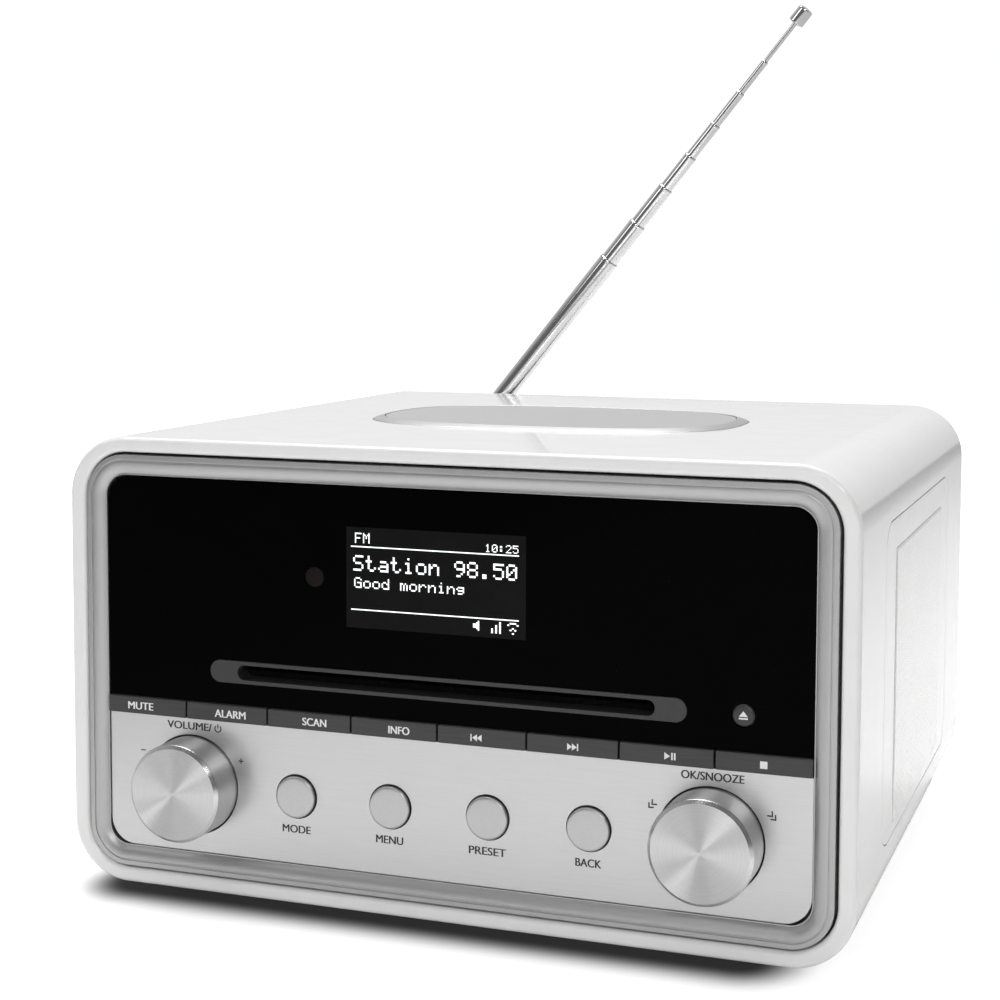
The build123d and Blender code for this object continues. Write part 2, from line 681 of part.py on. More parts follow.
def local_y(radius, y0, y1):
    return Pos(0, (y0 + y1) / 2, 0) * Rot(90, 0, 0) * Cylinder(radius, y1 - y0)


def local_x(radius, x0, x1):
    return Pos((x0 + x1) / 2, 0, 0) * Rot(0, 90, 0) * Cylinder(radius, x1 - x0)


def local_z(radius, z0, z1):
    return Pos(0, 0, (z0 + z1) / 2) * Cylinder(radius, z1 - z0)


def aerial_mount():
    """The round boss screwed to the rear cover that the aerial swivels in."""
    boss = rod_y(AERIAL_X, AERIAL_Z, 11, COVER_FACE_Y, BACK_Y + 0.5)
    boss = fillet(edges_at_y(boss, BACK_Y + 0.5), 1)
    return boss - rod_y(AERIAL_X, AERIAL_Z, SHAFT_RADIUS + 0.06, COVER_FACE_Y - 1, BACK_Y + 2)


def aerial_swivel():
    """Turning fork: disc, shaft through the mount, riveted collar and two cheeks."""
    disc = local_y(7, MOUNT_FACE + 0.1, DISC_FACE)
    shaft = local_y(SHAFT_RADIUS, COVER_BACK_Y - 2 - AERIAL_Y, MOUNT_FACE + 0.1)
    collar = local_y(4.5, COVER_BACK_Y - 2 - AERIAL_Y, COVER_BACK_Y - 0.4 - AERIAL_Y)
    fork = disc + shaft + collar
    for x0, x1 in ((-3.65, -1.65), (1.65, 3.65)):
        cheek = local_x(4, x0, x1) + Pos((x0 + x1) / 2, DISC_FACE / 2, 0) * Box(
            x1 - x0, -DISC_FACE, 8
        )
        fork += cheek
    return AERIAL * (fork - local_x(1.3, -5, 5))


def aerial_pin():
    pin = local_x(1.3, -3.65, 3.65)
    heads = local_x(2.2, -4.45, -3.65) + local_x(2.2, 3.65, 4.45)
    return AERIAL * (pin + heads)


def aerial_tube_1():
    """The widest tube with the flat tongue that tilts in the fork."""
    radius = TUBE_DIAMETERS[0] / 2
    bore = TUBE_DIAMETERS[1] / 2 + TUBE_CLEARANCE
    tongue = local_x(3.5, -1.5, 1.5) + Pos(0, 0, 3.1) * Box(3, 7, 6.2)
    tube = tongue + local_z(radius, 6, FIRST_TUBE_END)
    tube -= local_z(bore, 9, FIRST_TUBE_END + 1)
    return AERIAL * (tube - local_x(1.36, -5, 5))


def aerial_section(index):
    """A sliding tube: its place follows from how far each section stands out of the last."""
    end = FIRST_TUBE_END + sum(EXPOSED[:index])
    radius = TUBE_DIAMETERS[index] / 2
    inner = (TUBE_DIAMETERS + (ROD_DIAMETER,))[index + 1] / 2 + TUBE_CLEARANCE
    tube = local_z(radius, end - SECTION_LENGTH, end)
    return AERIAL * (tube - local_z(inner, end - SECTION_LENGTH - 1, end + 1))


def aerial_rod():
    end = FIRST_TUBE_END + sum(EXPOSED)
    rod = local_z(ROD_DIAMETER / 2, end - SECTION_LENGTH, end)
    tip = local_z(TIP_DIAMETER / 2, end, end + TIP_LENGTH)
    tip = fillet(tip.edges().filter_by(GeomType.CIRCLE), 0.8)
    return AERIAL * (rod + tip)


# ---------------------------------------------------------------- output


def build():
    nodes = {
        "cabinet_shell": cabinet_shell(),
        "feet": feet(),
        "rear_cover": rear_cover(),
        "cover_screws": cover_screws(),
        "charging_pad": charging_pad(),
        "pad_ring": pad_ring(),
        "charging_coil": charging_coil(),
        "front_frame": front_frame(),
        "bezel_ring": bezel_ring(),
        "display_panel": display_panel(),
        "control_panel": control_panel(),
        "ir_window": ir_window(),
        "slot_trim": slot_trim(),
        "dust_curtain": dust_curtain(),
        "display_module": display_module(),
        "eject_button": eject_button(),
        "rotary_encoders": rotary_encoders(),
        "tact_switches": tact_switches(),
        "control_board": control_board(),
        "drive_chassis": drive_chassis(),
        "drive_rails": drive_rails(),
        "drive_lid": drive_lid(),
        "loading_roller": loading_roller(),
        "turntable": turntable(),
        "laser_sled": laser_sled(),
        "main_board": main_board(),
        "rear_sockets": rear_sockets(),
        "aerial_mount": aerial_mount(),
        "aerial_swivel": aerial_swivel(),
        "aerial_pin": aerial_pin(),
        "aerial_tube_1": aerial_tube_1(),
        "aerial_rod": aerial_rod(),
    }
    for name, x in zip(BUTTON_NAMES, BUTTON_X):
        nodes[f"{name}_button"] = round_button(x)
    for name, x in zip(KEY_NAMES, KEY_X):
        nodes[f"{name}_key"] = strip_key(x)
    for name, x in (("volume", -KNOB_X), ("tuning", KNOB_X)):
        nodes[f"{name}_knob"] = knob(x)
        nodes[f"{name}_plunger"] = plunger(x)
    for index in range(1, len(TUBE_DIAMETERS)):
        nodes[f"aerial_tube_{index + 1}"] = aerial_section(index)
    for name, solid in (
        ("grille", right_grille()),
        ("speaker", speaker_basket()),
        ("cone", speaker_cone()),
    ):
        nodes[f"right_{name}"] = solid
        nodes[f"left_{name}"] = mirrored(solid)
    return nodes


os.makedirs("parts", exist_ok=True)
for node, solid in build().items():
    export_step(solid, f"parts/{node}.step")
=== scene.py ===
# %% [markdown]
# # Finishing a tabletop radio
#
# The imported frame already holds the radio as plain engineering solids: every piece has its right
# size and place, and every joint works. This lesson gives it its looks. We keep the frame as it
# is, put better surfaces on the solids whose shape is right, and model new pieces in place of
# those whose edges, curves or fine details the plain solids leave out.

# %% Load the frame
import json
import math

import bmesh
import bpy
from mathutils import Matrix, Vector


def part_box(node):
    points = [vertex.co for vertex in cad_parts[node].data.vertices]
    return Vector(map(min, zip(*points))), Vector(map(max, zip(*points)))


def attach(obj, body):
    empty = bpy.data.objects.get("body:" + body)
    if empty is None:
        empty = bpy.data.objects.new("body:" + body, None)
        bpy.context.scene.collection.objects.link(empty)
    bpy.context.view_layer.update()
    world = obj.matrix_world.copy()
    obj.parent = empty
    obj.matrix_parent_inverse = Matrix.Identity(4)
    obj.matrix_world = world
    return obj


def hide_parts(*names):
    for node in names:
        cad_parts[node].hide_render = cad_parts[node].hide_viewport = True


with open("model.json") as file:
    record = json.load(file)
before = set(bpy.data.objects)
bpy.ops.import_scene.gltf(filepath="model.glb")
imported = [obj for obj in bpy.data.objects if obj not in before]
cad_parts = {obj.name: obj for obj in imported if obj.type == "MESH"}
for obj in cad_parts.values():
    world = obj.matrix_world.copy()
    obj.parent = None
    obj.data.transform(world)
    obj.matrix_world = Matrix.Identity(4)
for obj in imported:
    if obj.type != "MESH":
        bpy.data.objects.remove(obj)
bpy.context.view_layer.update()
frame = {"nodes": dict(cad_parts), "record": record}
nodes = frame["nodes"]
MM = 0.001

# %% [markdown]
# ## Places and sizes
#
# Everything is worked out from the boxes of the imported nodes, so a new piece lands exactly where
# its solid is. `middle` gives the centre of a node, and a few distances that come back again and
# again get a name here. The radio faces -Y, +X is to the right and +Z is up.

# %% Read the driving places from the frame
cabinet_low, cabinet_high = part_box("cabinet_shell")
bezel_low, bezel_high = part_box("bezel_ring")
panel_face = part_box("display_panel")[0].y
front = cabinet_low.y
back = cabinet_high.y
deck = cabinet_high.z
side = cabinet_high.x


def middle(node):
    """The centre of a node's box."""
    low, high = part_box(node)
    return (low + high) / 2


CORNER = 19 * MM
print("cabinet", [round(v / MM, 1) for v in cabinet_high - cabinet_low], "mm")

# %% [markdown]
# ## Modelling helpers
#
# Operators act on whatever is selected, so each helper starts by clearing the selection. Faces and
# edges are then picked by their place or their direction, because a script has no mouse. Three
# ways of starting a piece cover nearly everything on a radio: a block with some of its edges
# rounded, a turned piece spun from half of its section, and a flat printed mark.


# %% Selecting and editing
def deselect():
    """Leave edit mode and select nothing."""
    if bpy.context.object and bpy.context.object.mode != "OBJECT":
        bpy.ops.object.mode_set(mode="OBJECT")
    bpy.ops.object.select_all(action="DESELECT")


def take(obj):
    """Make obj the only selected and active object."""
    deselect()
    obj.select_set(True)
    bpy.context.view_layer.objects.active = obj
    return obj


def start_edit(obj, mode):
    """Enter edit mode with nothing selected, and give back the mesh to pick from."""
    take(obj)
    bpy.ops.object.mode_set(mode="EDIT")
    bpy.ops.mesh.select_mode(type=mode)
    bpy.ops.mesh.select_all(action="DESELECT")
    return bmesh.from_edit_mesh(obj.data)


def edit_all(obj):
    """Enter edit mode with the whole mesh selected."""
    start_edit(obj, "VERT")
    bpy.ops.mesh.select_all(action="SELECT")


def end_edit():
    """Go back to object mode."""
    bpy.ops.object.mode_set(mode="OBJECT")


def pick_faces(obj, test):
    """Enter edit mode with just the faces whose centre and normal pass the test selected."""
    mesh = start_edit(obj, "FACE")
    for face in mesh.faces:
        face.select_set(bool(test(face.calc_center_median(), face.normal)))
    bmesh.update_edit_mesh(obj.data)


def pick_edges(obj, test):
    """Enter edit mode with just the edges whose two ends pass the test selected."""
    mesh = start_edit(obj, "EDGE")
    for edge in mesh.edges:
        if test(edge.verts[0].co, edge.verts[1].co):
            edge.select_set(True)
    bmesh.update_edit_mesh(obj.data)


def settle(obj):
    """Put an object's place, turn and size into its mesh."""
    take(obj)
    bpy.ops.object.transform_apply(location=True, rotation=True, scale=True)
    return obj


def named(name):
    """Name the active object and its mesh."""
    obj = bpy.context.object
    obj.name = name
    obj.data.name = name
    return obj


# %% Starting shapes
def block(name, low, high):
    """A box between two corners."""
    low, high = Vector(low), Vector(high)
    deselect()
    bpy.ops.mesh.primitive_cube_add(size=1, location=(low + high) / 2)
    obj = named(name)
    obj.scale = high - low
    return settle(obj)


def rounded_block(name, low, high, radius, axis, segments=12):
    """A box whose four edges along one axis (0, 1 or 2) are rounded."""
    obj = block(name, low, high)
    pick_edges(obj, lambda a, b: abs((a - b)[axis]) > (a - b).length * 0.99)
    bpy.ops.mesh.bevel(offset=radius, segments=segments, affect="EDGES")
    end_edit()
    return obj


def turned(name, section, centre, axis="Y", steps=64):
    """Spin a section, given as (radius, height) pairs in millimetres, about an axis at centre."""
    centre = Vector(centre)
    along = Vector((0, 1, 0)) if axis == "Y" else Vector((0, 0, 1))
    points = [centre + Vector((r * MM, 0, 0)) + along * (height * MM) for r, height in section]
    deselect()
    bpy.ops.mesh.primitive_plane_add(size=MM, location=(0, 0, 0))
    obj = named(name)
    edit_all(obj)
    bpy.ops.mesh.merge(type="CENTER")
    bpy.ops.transform.translate(value=points[0])
    for before, after in zip(points, points[1:]):
        bpy.ops.mesh.extrude_vertices_move(TRANSFORM_OT_translate={"value": after - before})
    bpy.ops.mesh.select_all(action="SELECT")
    bpy.ops.mesh.spin(steps=steps, angle=2 * math.pi, center=centre, axis=along)
    bpy.ops.mesh.select_all(action="SELECT")
    bpy.ops.mesh.remove_doubles(threshold=0.002 * MM)
    bpy.ops.mesh.normals_make_consistent(inside=False)
    end_edit()
    return obj


# %% Cutting, softening and smoothing
def apply_modifier(obj, kind, **values):
    """Add a modifier with the given values and apply it."""
    take(obj)
    modifier = obj.modifiers.new(kind.title(), kind)
    for key, value in values.items():
        setattr(modifier, key, value)
    bpy.ops.object.modifier_apply(modifier=modifier.name)
    return obj


def cut(obj, *cutters):
    """Take the cutters' shapes out of obj and throw the cutters away."""
    for cutter in cutters:
        apply_modifier(obj, "BOOLEAN", operation="DIFFERENCE", object=cutter, solver="EXACT")
        bpy.data.objects.remove(cutter)
    return obj


def soften(obj, width, segments=3, angle=40):
    """Round every edge sharper than the angle a little."""
    return apply_modifier(obj, "BEVEL", width=width, segments=segments, limit_method="ANGLE",
                          angle_limit=math.radians(angle))


def smooth(obj, angle=35):
    """Smooth shading that keeps sharp edges, with large faces kept flat."""
    take(obj)
    bpy.ops.object.shade_smooth_by_angle(angle=math.radians(angle))
    return apply_modifier(obj, "WEIGHTED_NORMAL", keep_sharp=True, weight=80)


def join(name, pieces):
    """Make one object of several."""
    deselect()
    for piece in pieces:
        piece.select_set(True)
    bpy.context.view_layer.objects.active = pieces[0]
    bpy.ops.object.join()
    return named(name)


def tilt_mesh(obj, turn, place):
    """Turn a mesh that was made at the origin and move it to its place."""
    obj.matrix_world = Matrix.Translation(place) @ turn
    return settle(obj)


# %% [markdown]
# ## Camera
#
# The radio stands turned to its left, seen from a little above its deck. A long lens keeps its
# upright edges nearly parallel. The camera's three directions are worked out from how far it is
# turned, lowered and rolled, and the frame is shifted down a little, so that both the tall aerial
# and the floor in front fit in it.

# %% Camera
TURN, LOWER, ROLL = -0.35183, 0.07309, 0.00289
CAMERA_PLACE = (0.208539, -0.628866, 0.202183)
SENSOR_WIDTH, FOCAL_LENGTH, SHIFT_UP = 36, 68.356, -0.10
forward = Vector(
    (math.sin(TURN) * math.cos(LOWER), math.cos(TURN) * math.cos(LOWER), -math.sin(LOWER))
)
across = Vector((math.cos(TURN), -math.sin(TURN), 0))
upward = across.cross(forward)
right = across * math.cos(ROLL) + upward * math.sin(ROLL)
top = upward * math.cos(ROLL) - across * math.sin(ROLL)
deselect()
bpy.ops.object.camera_add()
camera = bpy.context.object
camera.name = "camera"
camera.data.sensor_width = SENSOR_WIDTH
camera.data.lens = FOCAL_LENGTH
camera.data.shift_y = SHIFT_UP
camera.data.clip_start = 0.01
facing = Matrix((right, top, -forward)).transposed().to_4x4()
camera.matrix_world = Matrix.Translation(CAMERA_PLACE) @ facing
bpy.context.scene.camera = camera
bpy.context.scene.view_settings.view_transform = "Standard"
print("camera looks along", [round(v, 3) for v in forward])

# %% [markdown]
# ## Shader groups
#
# Three effects come back in nearly every finish, so each is built once as a node group. Grain is
# a noise that can be stretched into brush lines. Rings are the fine concentric marks a lathe
# leaves. Specks are the small cells of a moulded or woven surface. A group only puts out what
# varies over the surface: a colour, a roughness and a height for a Bump node.


# %% A small node-building kit
def start_group(name, inputs, outputs):
    """A new shader group with the given (name, kind, value) inputs and (name, kind) outputs."""
    group = bpy.data.node_groups.new(name, "ShaderNodeTree")
    for label, kind, value in inputs:
        made = group.interface.new_socket(label, in_out="INPUT", socket_type=f"NodeSocket{kind}")
        made.default_value = value
    for label, kind in outputs:
        group.interface.new_socket(label, in_out="OUTPUT", socket_type=f"NodeSocket{kind}")
    entry = group.nodes.new("NodeGroupInput")
    leave = group.nodes.new("NodeGroupOutput")
    return group, entry.outputs, leave.inputs


def add_node(tree, kind, **sockets):
    """Add a node. Sockets are set by value, or linked when given another node's output."""
    made = tree.nodes.new(f"ShaderNode{kind}")
    for label, value in sockets.items():
        target = made.inputs[int(label[1:])] if label[0] == "_" else made.inputs[label]
        if isinstance(value, bpy.types.NodeSocket):
            tree.links.new(value, target)
        else:
            target.default_value = value
    return made


def maths(tree, operation, first, second=None, kind="Math", clamp=False):
    """The result of a maths node on values or on outputs of other nodes."""
    sockets = {"_0": first} if second is None else {"_0": first, "_1": second}
    made = add_node(tree, kind, **sockets)
    made.operation = operation
    if clamp:
        made.use_clamp = True
    return made.outputs[1 if operation == "LENGTH" else 0]


def ramp(tree, value, start, end, low=0.0, high=1.0, curve="LINEAR"):
    """A result that goes from low to high as the value goes from start to end."""
    made = add_node(tree, "MapRange", Value=value)
    made.interpolation_type = curve
    for label, limit in zip(("From Min", "From Max", "To Min", "To Max"), (start, end, low, high)):
        made.inputs[label].default_value = limit
    return made.outputs[0]


def blend_colours(tree, amount, first, second):
    """Mix two colour sockets by an amount and give back the mixed colour."""
    mixer = tree.nodes.new("ShaderNodeMix")
    mixer.data_type = "RGBA"
    tree.links.new(amount, mixer.inputs[0])
    tree.links.new(first, mixer.inputs[6])
    tree.links.new(second, mixer.inputs[7])
    return mixer.outputs[2]


def spread(tree, amount, middle_value, width):
    """Roughness: a middle value, plus or minus the width as the amount goes from 0 to 1."""
    centred = maths(tree, "SUBTRACT", amount, 0.5)
    scaled = maths(tree, "MULTIPLY", centred, width)
    return maths(tree, "ADD", scaled, middle_value, clamp=True)


# %% Grain, rings and specks
SURFACE = [("Colour", "Color"), ("Roughness", "Float"), ("Height", "Float")]
COLOURS = [("First", "Color", (0.5, 0.5, 0.5, 1)), ("Second", "Color", (0.6, 0.6, 0.6, 1))]
NUMBERS = [("Scale", "Float", 200.0), ("Rough", "Float", 0.4), ("Rough Spread", "Float", 0.1)]


def surface_group(name, extra, pattern):
    """A group whose pattern gives an amount from 0 to 1 that drives all three outputs."""
    group, given, out = start_group(name, COLOURS + NUMBERS + extra, SURFACE)
    place = group.nodes.new("ShaderNodeTexCoord").outputs["Object"]
    amount = pattern(group, given, place)
    mixed = blend_colours(group, amount, given["First"], given["Second"])
    group.links.new(mixed, out["Colour"])
    rough = spread(group, amount, given["Rough"], given["Rough Spread"])
    group.links.new(rough, out["Roughness"])
    group.links.new(amount, out["Height"])
    return group


def grain_pattern(tree, given, place):
    """Noise that is drawn out into brush lines where Stretch differs between directions."""
    stretched = add_node(tree, "Mapping", Vector=place, Scale=given["Stretch"])
    noise = add_node(tree, "TexNoise", Vector=stretched.outputs[0], Scale=given["Scale"])
    noise.inputs["Detail"].default_value = 4.0
    return ramp(tree, noise.outputs["Fac"], 0.3, 0.7)


def ring_pattern(tree, given, place):
    """Fine rings about an axis; Across is 1 in the two directions square to the axis."""
    offset = maths(tree, "SUBTRACT", place, given["Centre"], "VectorMath")
    flat = maths(tree, "MULTIPLY", offset, given["Across"], "VectorMath")
    radius = maths(tree, "LENGTH", flat, kind="VectorMath")
    noise = tree.nodes.new("ShaderNodeTexNoise")
    noise.noise_dimensions = "1D"
    tree.links.new(radius, noise.inputs["W"])
    tree.links.new(given["Scale"], noise.inputs["Scale"])
    noise.inputs["Detail"].default_value = 3.0
    return ramp(tree, noise.outputs["Fac"], 0.3, 0.7)


def speck_pattern(tree, given, place):
    """Small cells, with a slow drift in how strongly they show."""
    cells = add_node(tree, "TexVoronoi", Vector=place, Scale=given["Scale"])
    drift = add_node(tree, "TexNoise", Vector=place, Scale=90.0)
    return maths(
        tree, "MULTIPLY", cells.outputs["Distance"], drift.outputs["Fac"], clamp=True
    )


GRAIN = surface_group("grain", [("Stretch", "Vector", (1, 1, 1))], grain_pattern)
RINGS = surface_group(
    "rings", [("Centre", "Vector", (0, 0, 0)), ("Across", "Vector", (1, 0, 1))], ring_pattern
)
SPECKS = surface_group("specks", [], speck_pattern)
print("groups:", [g.name for g in bpy.data.node_groups])


# %% A finish made from one group
FINISHES = {}


def colour(value):
    """A colour from its three parts, or a grey from one number."""
    return (*value, 1) if isinstance(value, tuple) else (value, value, value, 1)


def finish(name, group, first, second, rough, bump=0.0, depth=0.02, constants=None, **values):
    """A material whose colour, roughness and bump come from a group.

    The constants are set straight on the Principled BSDF's own sockets.
    """
    material = FINISHES[name] = bpy.data.materials.new(name)
    material.use_nodes = True
    tree = material.node_tree
    shader = tree.nodes["Principled BSDF"]
    effect = tree.nodes.new("ShaderNodeGroup")
    effect.node_tree = group
    effect.inputs["First"].default_value = colour(first)
    effect.inputs["Second"].default_value = colour(second)
    effect.inputs["Rough"].default_value = rough[0]
    effect.inputs["Rough Spread"].default_value = rough[1]
    for label, value in values.items():
        effect.inputs[label].default_value = value
    tree.links.new(effect.outputs["Colour"], shader.inputs["Base Color"])
    tree.links.new(effect.outputs["Roughness"], shader.inputs["Roughness"])
    if bump:
        relief = add_node(tree, "Bump", Height=effect.outputs["Height"])
        relief.inputs["Strength"].default_value = bump
        relief.inputs["Distance"].default_value = depth * MM
        tree.links.new(relief.outputs["Normal"], shader.inputs["Normal"])
    for label, value in (constants or {}).items():
        shader.inputs[label].default_value = value
    return material


# %% [markdown]
# ## Finishes
#
# The cabinet is gloss white lacquer: nearly even in colour, with a coat on top and the faintest
# waviness, so that reflections swim a little. The lower panel is aluminium brushed sideways, so
# its grain is the same noise stretched a hundred times along X. The knobs are spun, which needs
# rings about each knob's own middle and a highlight that fans out from it. Rubber, felt and
# moulded plastic get specks of their own size.

# %% Cabinet, bezel and panel finishes
METAL = {"Metallic": 1.0}
lacquer = finish(
    "white_lacquer", GRAIN, (0.85, 0.85, 0.845), (0.87, 0.87, 0.87), (0.12, 0.012),
    bump=0.01, depth=0.01, Scale=90.0, constants={"Coat Weight": 0.3, "Coat Roughness": 0.02},
)
finish("back_plastic", SPECKS, 0.03, 0.06, (0.55, 0.2), bump=0.5, depth=0.08, Scale=1500.0)
foot_rubber = finish(
    "foot_rubber", SPECKS, 0.02, 0.05, (0.8, 0.15), bump=0.4, depth=0.05, Scale=2500.0
)
bezel_silver = finish(
    "bezel_silver", GRAIN, 0.465, 0.485, (0.44, 0.03), bump=0.02, depth=0.01,
    Scale=1500.0, constants=METAL,
)
finish("black_plastic", SPECKS, 0.008, 0.02, (0.5, 0.2), bump=0.3, depth=0.03, Scale=1800.0)
finish(
    "gloss_black", GRAIN, 0.0004, 0.0006, (0.05, 0.03), Scale=120.0,
    constants={"Specular IOR Level": 0.02},
)
finish(
    "brushed_aluminium", GRAIN, 0.575, 0.635, (0.36, 0.06), bump=0.08, depth=0.008,
    Scale=70.0, Stretch=(1.0, 30.0, 160.0), constants=METAL,
)
finish(
    "sensor_window", GRAIN, (0.006, 0.003, 0.003), (0.009, 0.005, 0.005), (0.1, 0.04), Scale=200.0,
    constants={"Specular IOR Level": 0.12},
)
trim_grey = finish(
    "trim_grey", SPECKS, 0.026, 0.045, (0.42, 0.1), bump=0.15, depth=0.02, Scale=2600.0
)
finish(
    "felt", SPECKS, 0.001, 0.02, (0.9, 0.1), bump=0.9, depth=0.3, Scale=1100.0,
    constants={"Specular IOR Level": 0.1},
)
print("finishes so far:", len(bpy.data.materials))

# %% Controls, pad, aerial and inner finishes
button_satin = finish(
    "button_satin", GRAIN, 0.50, 0.54, (0.36, 0.05), bump=0.04, depth=0.01,
    Scale=1600.0, constants=METAL,
)
key_grey = finish(
    "key_grey", GRAIN, 0.026, 0.05, (0.38, 0.1), bump=0.1, depth=0.01,
    Scale=70.0, Stretch=(1.0, 20.0, 90.0),
)
pad_rubber = finish(
    "pad_rubber", SPECKS, 0.36, 0.42, (0.5, 0.12), bump=0.2, depth=0.02, Scale=3200.0
)
screw_steel = finish("screw_steel", GRAIN, 0.10, 0.16, (0.4, 0.15), Scale=1500.0, constants=METAL)
finish(
    "plunger_brass", GRAIN, (0.66, 0.5, 0.26), (0.74, 0.58, 0.32), (0.35, 0.1), Scale=900.0,
    constants=METAL,
)
finish("board_green", SPECKS, (0.01, 0.09, 0.03), (0.03, 0.2, 0.08), (0.4, 0.2), Scale=500.0)
finish("drive_steel", SPECKS, 0.45, 0.62, (0.35, 0.2), Scale=260.0, constants=METAL)
finish("roller_rubber", SPECKS, 0.03, 0.06, (0.75, 0.1), bump=0.3, depth=0.05, Scale=1800.0)
finish(
    "coil_copper", RINGS, (0.62, 0.28, 0.12), (0.8, 0.42, 0.2), (0.35, 0.1), bump=0.8, depth=0.2,
    Scale=1500.0, Across=(1, 1, 0), constants=METAL,
)
finish("speaker_metal", SPECKS, 0.03, 0.05, (0.45, 0.15), Scale=700.0)
finish("cone_paper", SPECKS, 0.02, 0.06, (0.85, 0.1), bump=0.6, depth=0.1, Scale=900.0)
chrome = finish("chrome", GRAIN, 0.62, 0.68, (0.09, 0.02), Scale=300.0, constants=METAL)
cloth_black = finish(
    "cloth_black", SPECKS, 0.005, 0.02, (0.95, 0.05), bump=0.5, depth=0.1, Scale=1500.0
)
ink_black = finish("ink_black", GRAIN, 0.012, 0.02, (0.45, 0.1), Scale=900.0)
ink_white = finish("ink_white", GRAIN, 0.80, 0.86, (0.45, 0.1), Scale=900.0)


def spun(name, centre):
    """Aluminium turned on a lathe about a Y axis through the given point."""
    material = finish(
        name, RINGS, 0.58, 0.66, (0.42, 0.04), bump=0.02, depth=0.005,
        Scale=3400.0, Centre=centre,
        constants={"Metallic": 1.0, "Anisotropic": 0.92, "Anisotropic Rotation": 0.25},
    )
    tree = material.node_tree
    around = tree.nodes.new("ShaderNodeTangent")
    around.direction_type = "RADIAL"
    around.axis = "Y"
    tree.links.new(around.outputs[0], tree.nodes["Principled BSDF"].inputs["Tangent"])
    return material


print("finishes:", len(bpy.data.materials))

# %% [markdown]
# ## Carried-over solids
#
# Flat panels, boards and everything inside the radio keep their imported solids: their shape is
# right and only the surface was missing. Each one gets the finish with the name of its material
# slot. The knobs' slot shares a finish, because both knobs are replaced further on.

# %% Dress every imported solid
SHARED_FINISH = {"knob_aluminium": "button_satin"}


def paint(obj, *materials):
    """Give an object these finishes and no others."""
    obj.data.materials.clear()
    for material in materials:
        obj.data.materials.append(material)


slot_of = {entry["node"]: entry["material_slot"] for entry in frame["record"]["subparts"]}
for name, solid in nodes.items():
    slot_name = slot_of[name]
    paint(solid, FINISHES[SHARED_FINISH.get(slot_name, slot_name)])
print("dressed", len(slot_of), "solids")


def place(obj, material, body, *replaced, slot=None):
    """Give a new piece its finish and its body, and hide the solids it stands for. The slot is not
    used.
    """
    if material:
        paint(obj, material)
    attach(obj, body)
    if replaced:
        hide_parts(*replaced)
    print(obj.name, len(obj.data.polygons), "faces on", body)
    return obj


# %% [markdown]
# ## Cabinet
#
# The cabinet is a moulded sleeve, open at the front and the back. A rounded block minus a smaller
# rounded block gives the sleeve, and its rims are rounded before anything else is cut, so that
# they stay even all the way round. Then come the pockets for the side panels, the speakers'
# mouths and the shallow recess in the deck, with much finer edges.

# %% Sleeve with rounded rims
MOUTH_HALF, MOUTH_LOW, MOUTH_HIGH, MOUTH_CORNER = 119.6 * MM, 9.8 * MM, 142.2 * MM, 14.2 * MM
RIM, FINE_EDGE = 1.5 * MM, 0.25 * MM
shell = rounded_block("cabinet", cabinet_low, cabinet_high, CORNER, axis=1, segments=24)
mouth = rounded_block("mouth", (-MOUTH_HALF, front - MM, MOUTH_LOW),
                      (MOUTH_HALF, back + MM, MOUTH_HIGH), MOUTH_CORNER, axis=1, segments=18)
cut(shell, mouth)
soften(shell, RIM, segments=5)
print("sleeve:", len(shell.data.polygons), "faces")


# %% A flat plate with the pad's outline
PAD_SQUARENESS = 2.7


def pad_plate(name, half_x, half_y, height):
    """A flat plate outlined by a superellipse, rounder than a rectangle."""
    deselect()
    bpy.ops.mesh.primitive_circle_add(vertices=120, radius=1, fill_type="NGON", location=(0, 0, 0))
    plate = named(name)
    for vertex in plate.data.vertices:
        x, y = vertex.co.x, vertex.co.y
        vertex.co.x = math.copysign(half_x * abs(x) ** (2 / PAD_SQUARENESS), x)
        vertex.co.y = math.copysign(half_y * abs(y) ** (2 / PAD_SQUARENESS), y)
        vertex.co.z = height
    return plate


def step_in(obj, steps):
    """Inset one flat face again and again, each time by (inwards, forwards) millimetres.

    The mesh stays in edit mode with its middle face selected.
    """
    pick_faces(obj, lambda centre, normal: True)
    for inwards, forwards in steps:
        bpy.ops.mesh.inset(
            thickness=inwards * MM, depth=forwards * MM, use_even_offset=True, use_boundary=True
        )


# %% Pockets, speaker mouths and recess
POCKET_DEPTH, POCKET_HALF, POCKET_CORNER = 2.6 * MM, 72 * MM, 10 * MM
POCKET_LOW, POCKET_HIGH = 27 * MM, 125.4 * MM
SPEAKER_RADIUS, SPEAKER_HEIGHT = 40 * MM, 73.35 * MM
RECESS_HALF_X, RECESS_HALF_Y, RECESS_DEPTH = 65.15 * MM, 45.65 * MM, 2.4 * MM
for way in (-1, 1):
    inner, outer = sorted((way * (side - POCKET_DEPTH), way * (side + MM)))
    pocket = rounded_block("pocket", (inner, -POCKET_HALF, POCKET_LOW),
                           (outer, POCKET_HALF, POCKET_HIGH), POCKET_CORNER, axis=0)
    deselect()
    bpy.ops.mesh.primitive_cylinder_add(
        vertices=72, radius=SPEAKER_RADIUS, depth=12 * MM,
        location=(way * side, 0, SPEAKER_HEIGHT), rotation=(0, math.pi / 2, 0),
    )
    opening = settle(named("speaker_mouth"))
    cut(shell, pocket, opening)
recess = pad_plate("recess", RECESS_HALF_X, RECESS_HALF_Y, deck - RECESS_DEPTH)
pick_faces(recess, lambda centre, normal: True)
bpy.ops.mesh.extrude_region_move(TRANSFORM_OT_translate={"value": (0, 0, 4 * MM)})
bpy.ops.mesh.select_all(action="SELECT")
bpy.ops.mesh.normals_make_consistent(inside=False)
end_edit()
cut(shell, recess)
soften(shell, FINE_EDGE, segments=2, angle=50)
smooth(shell)
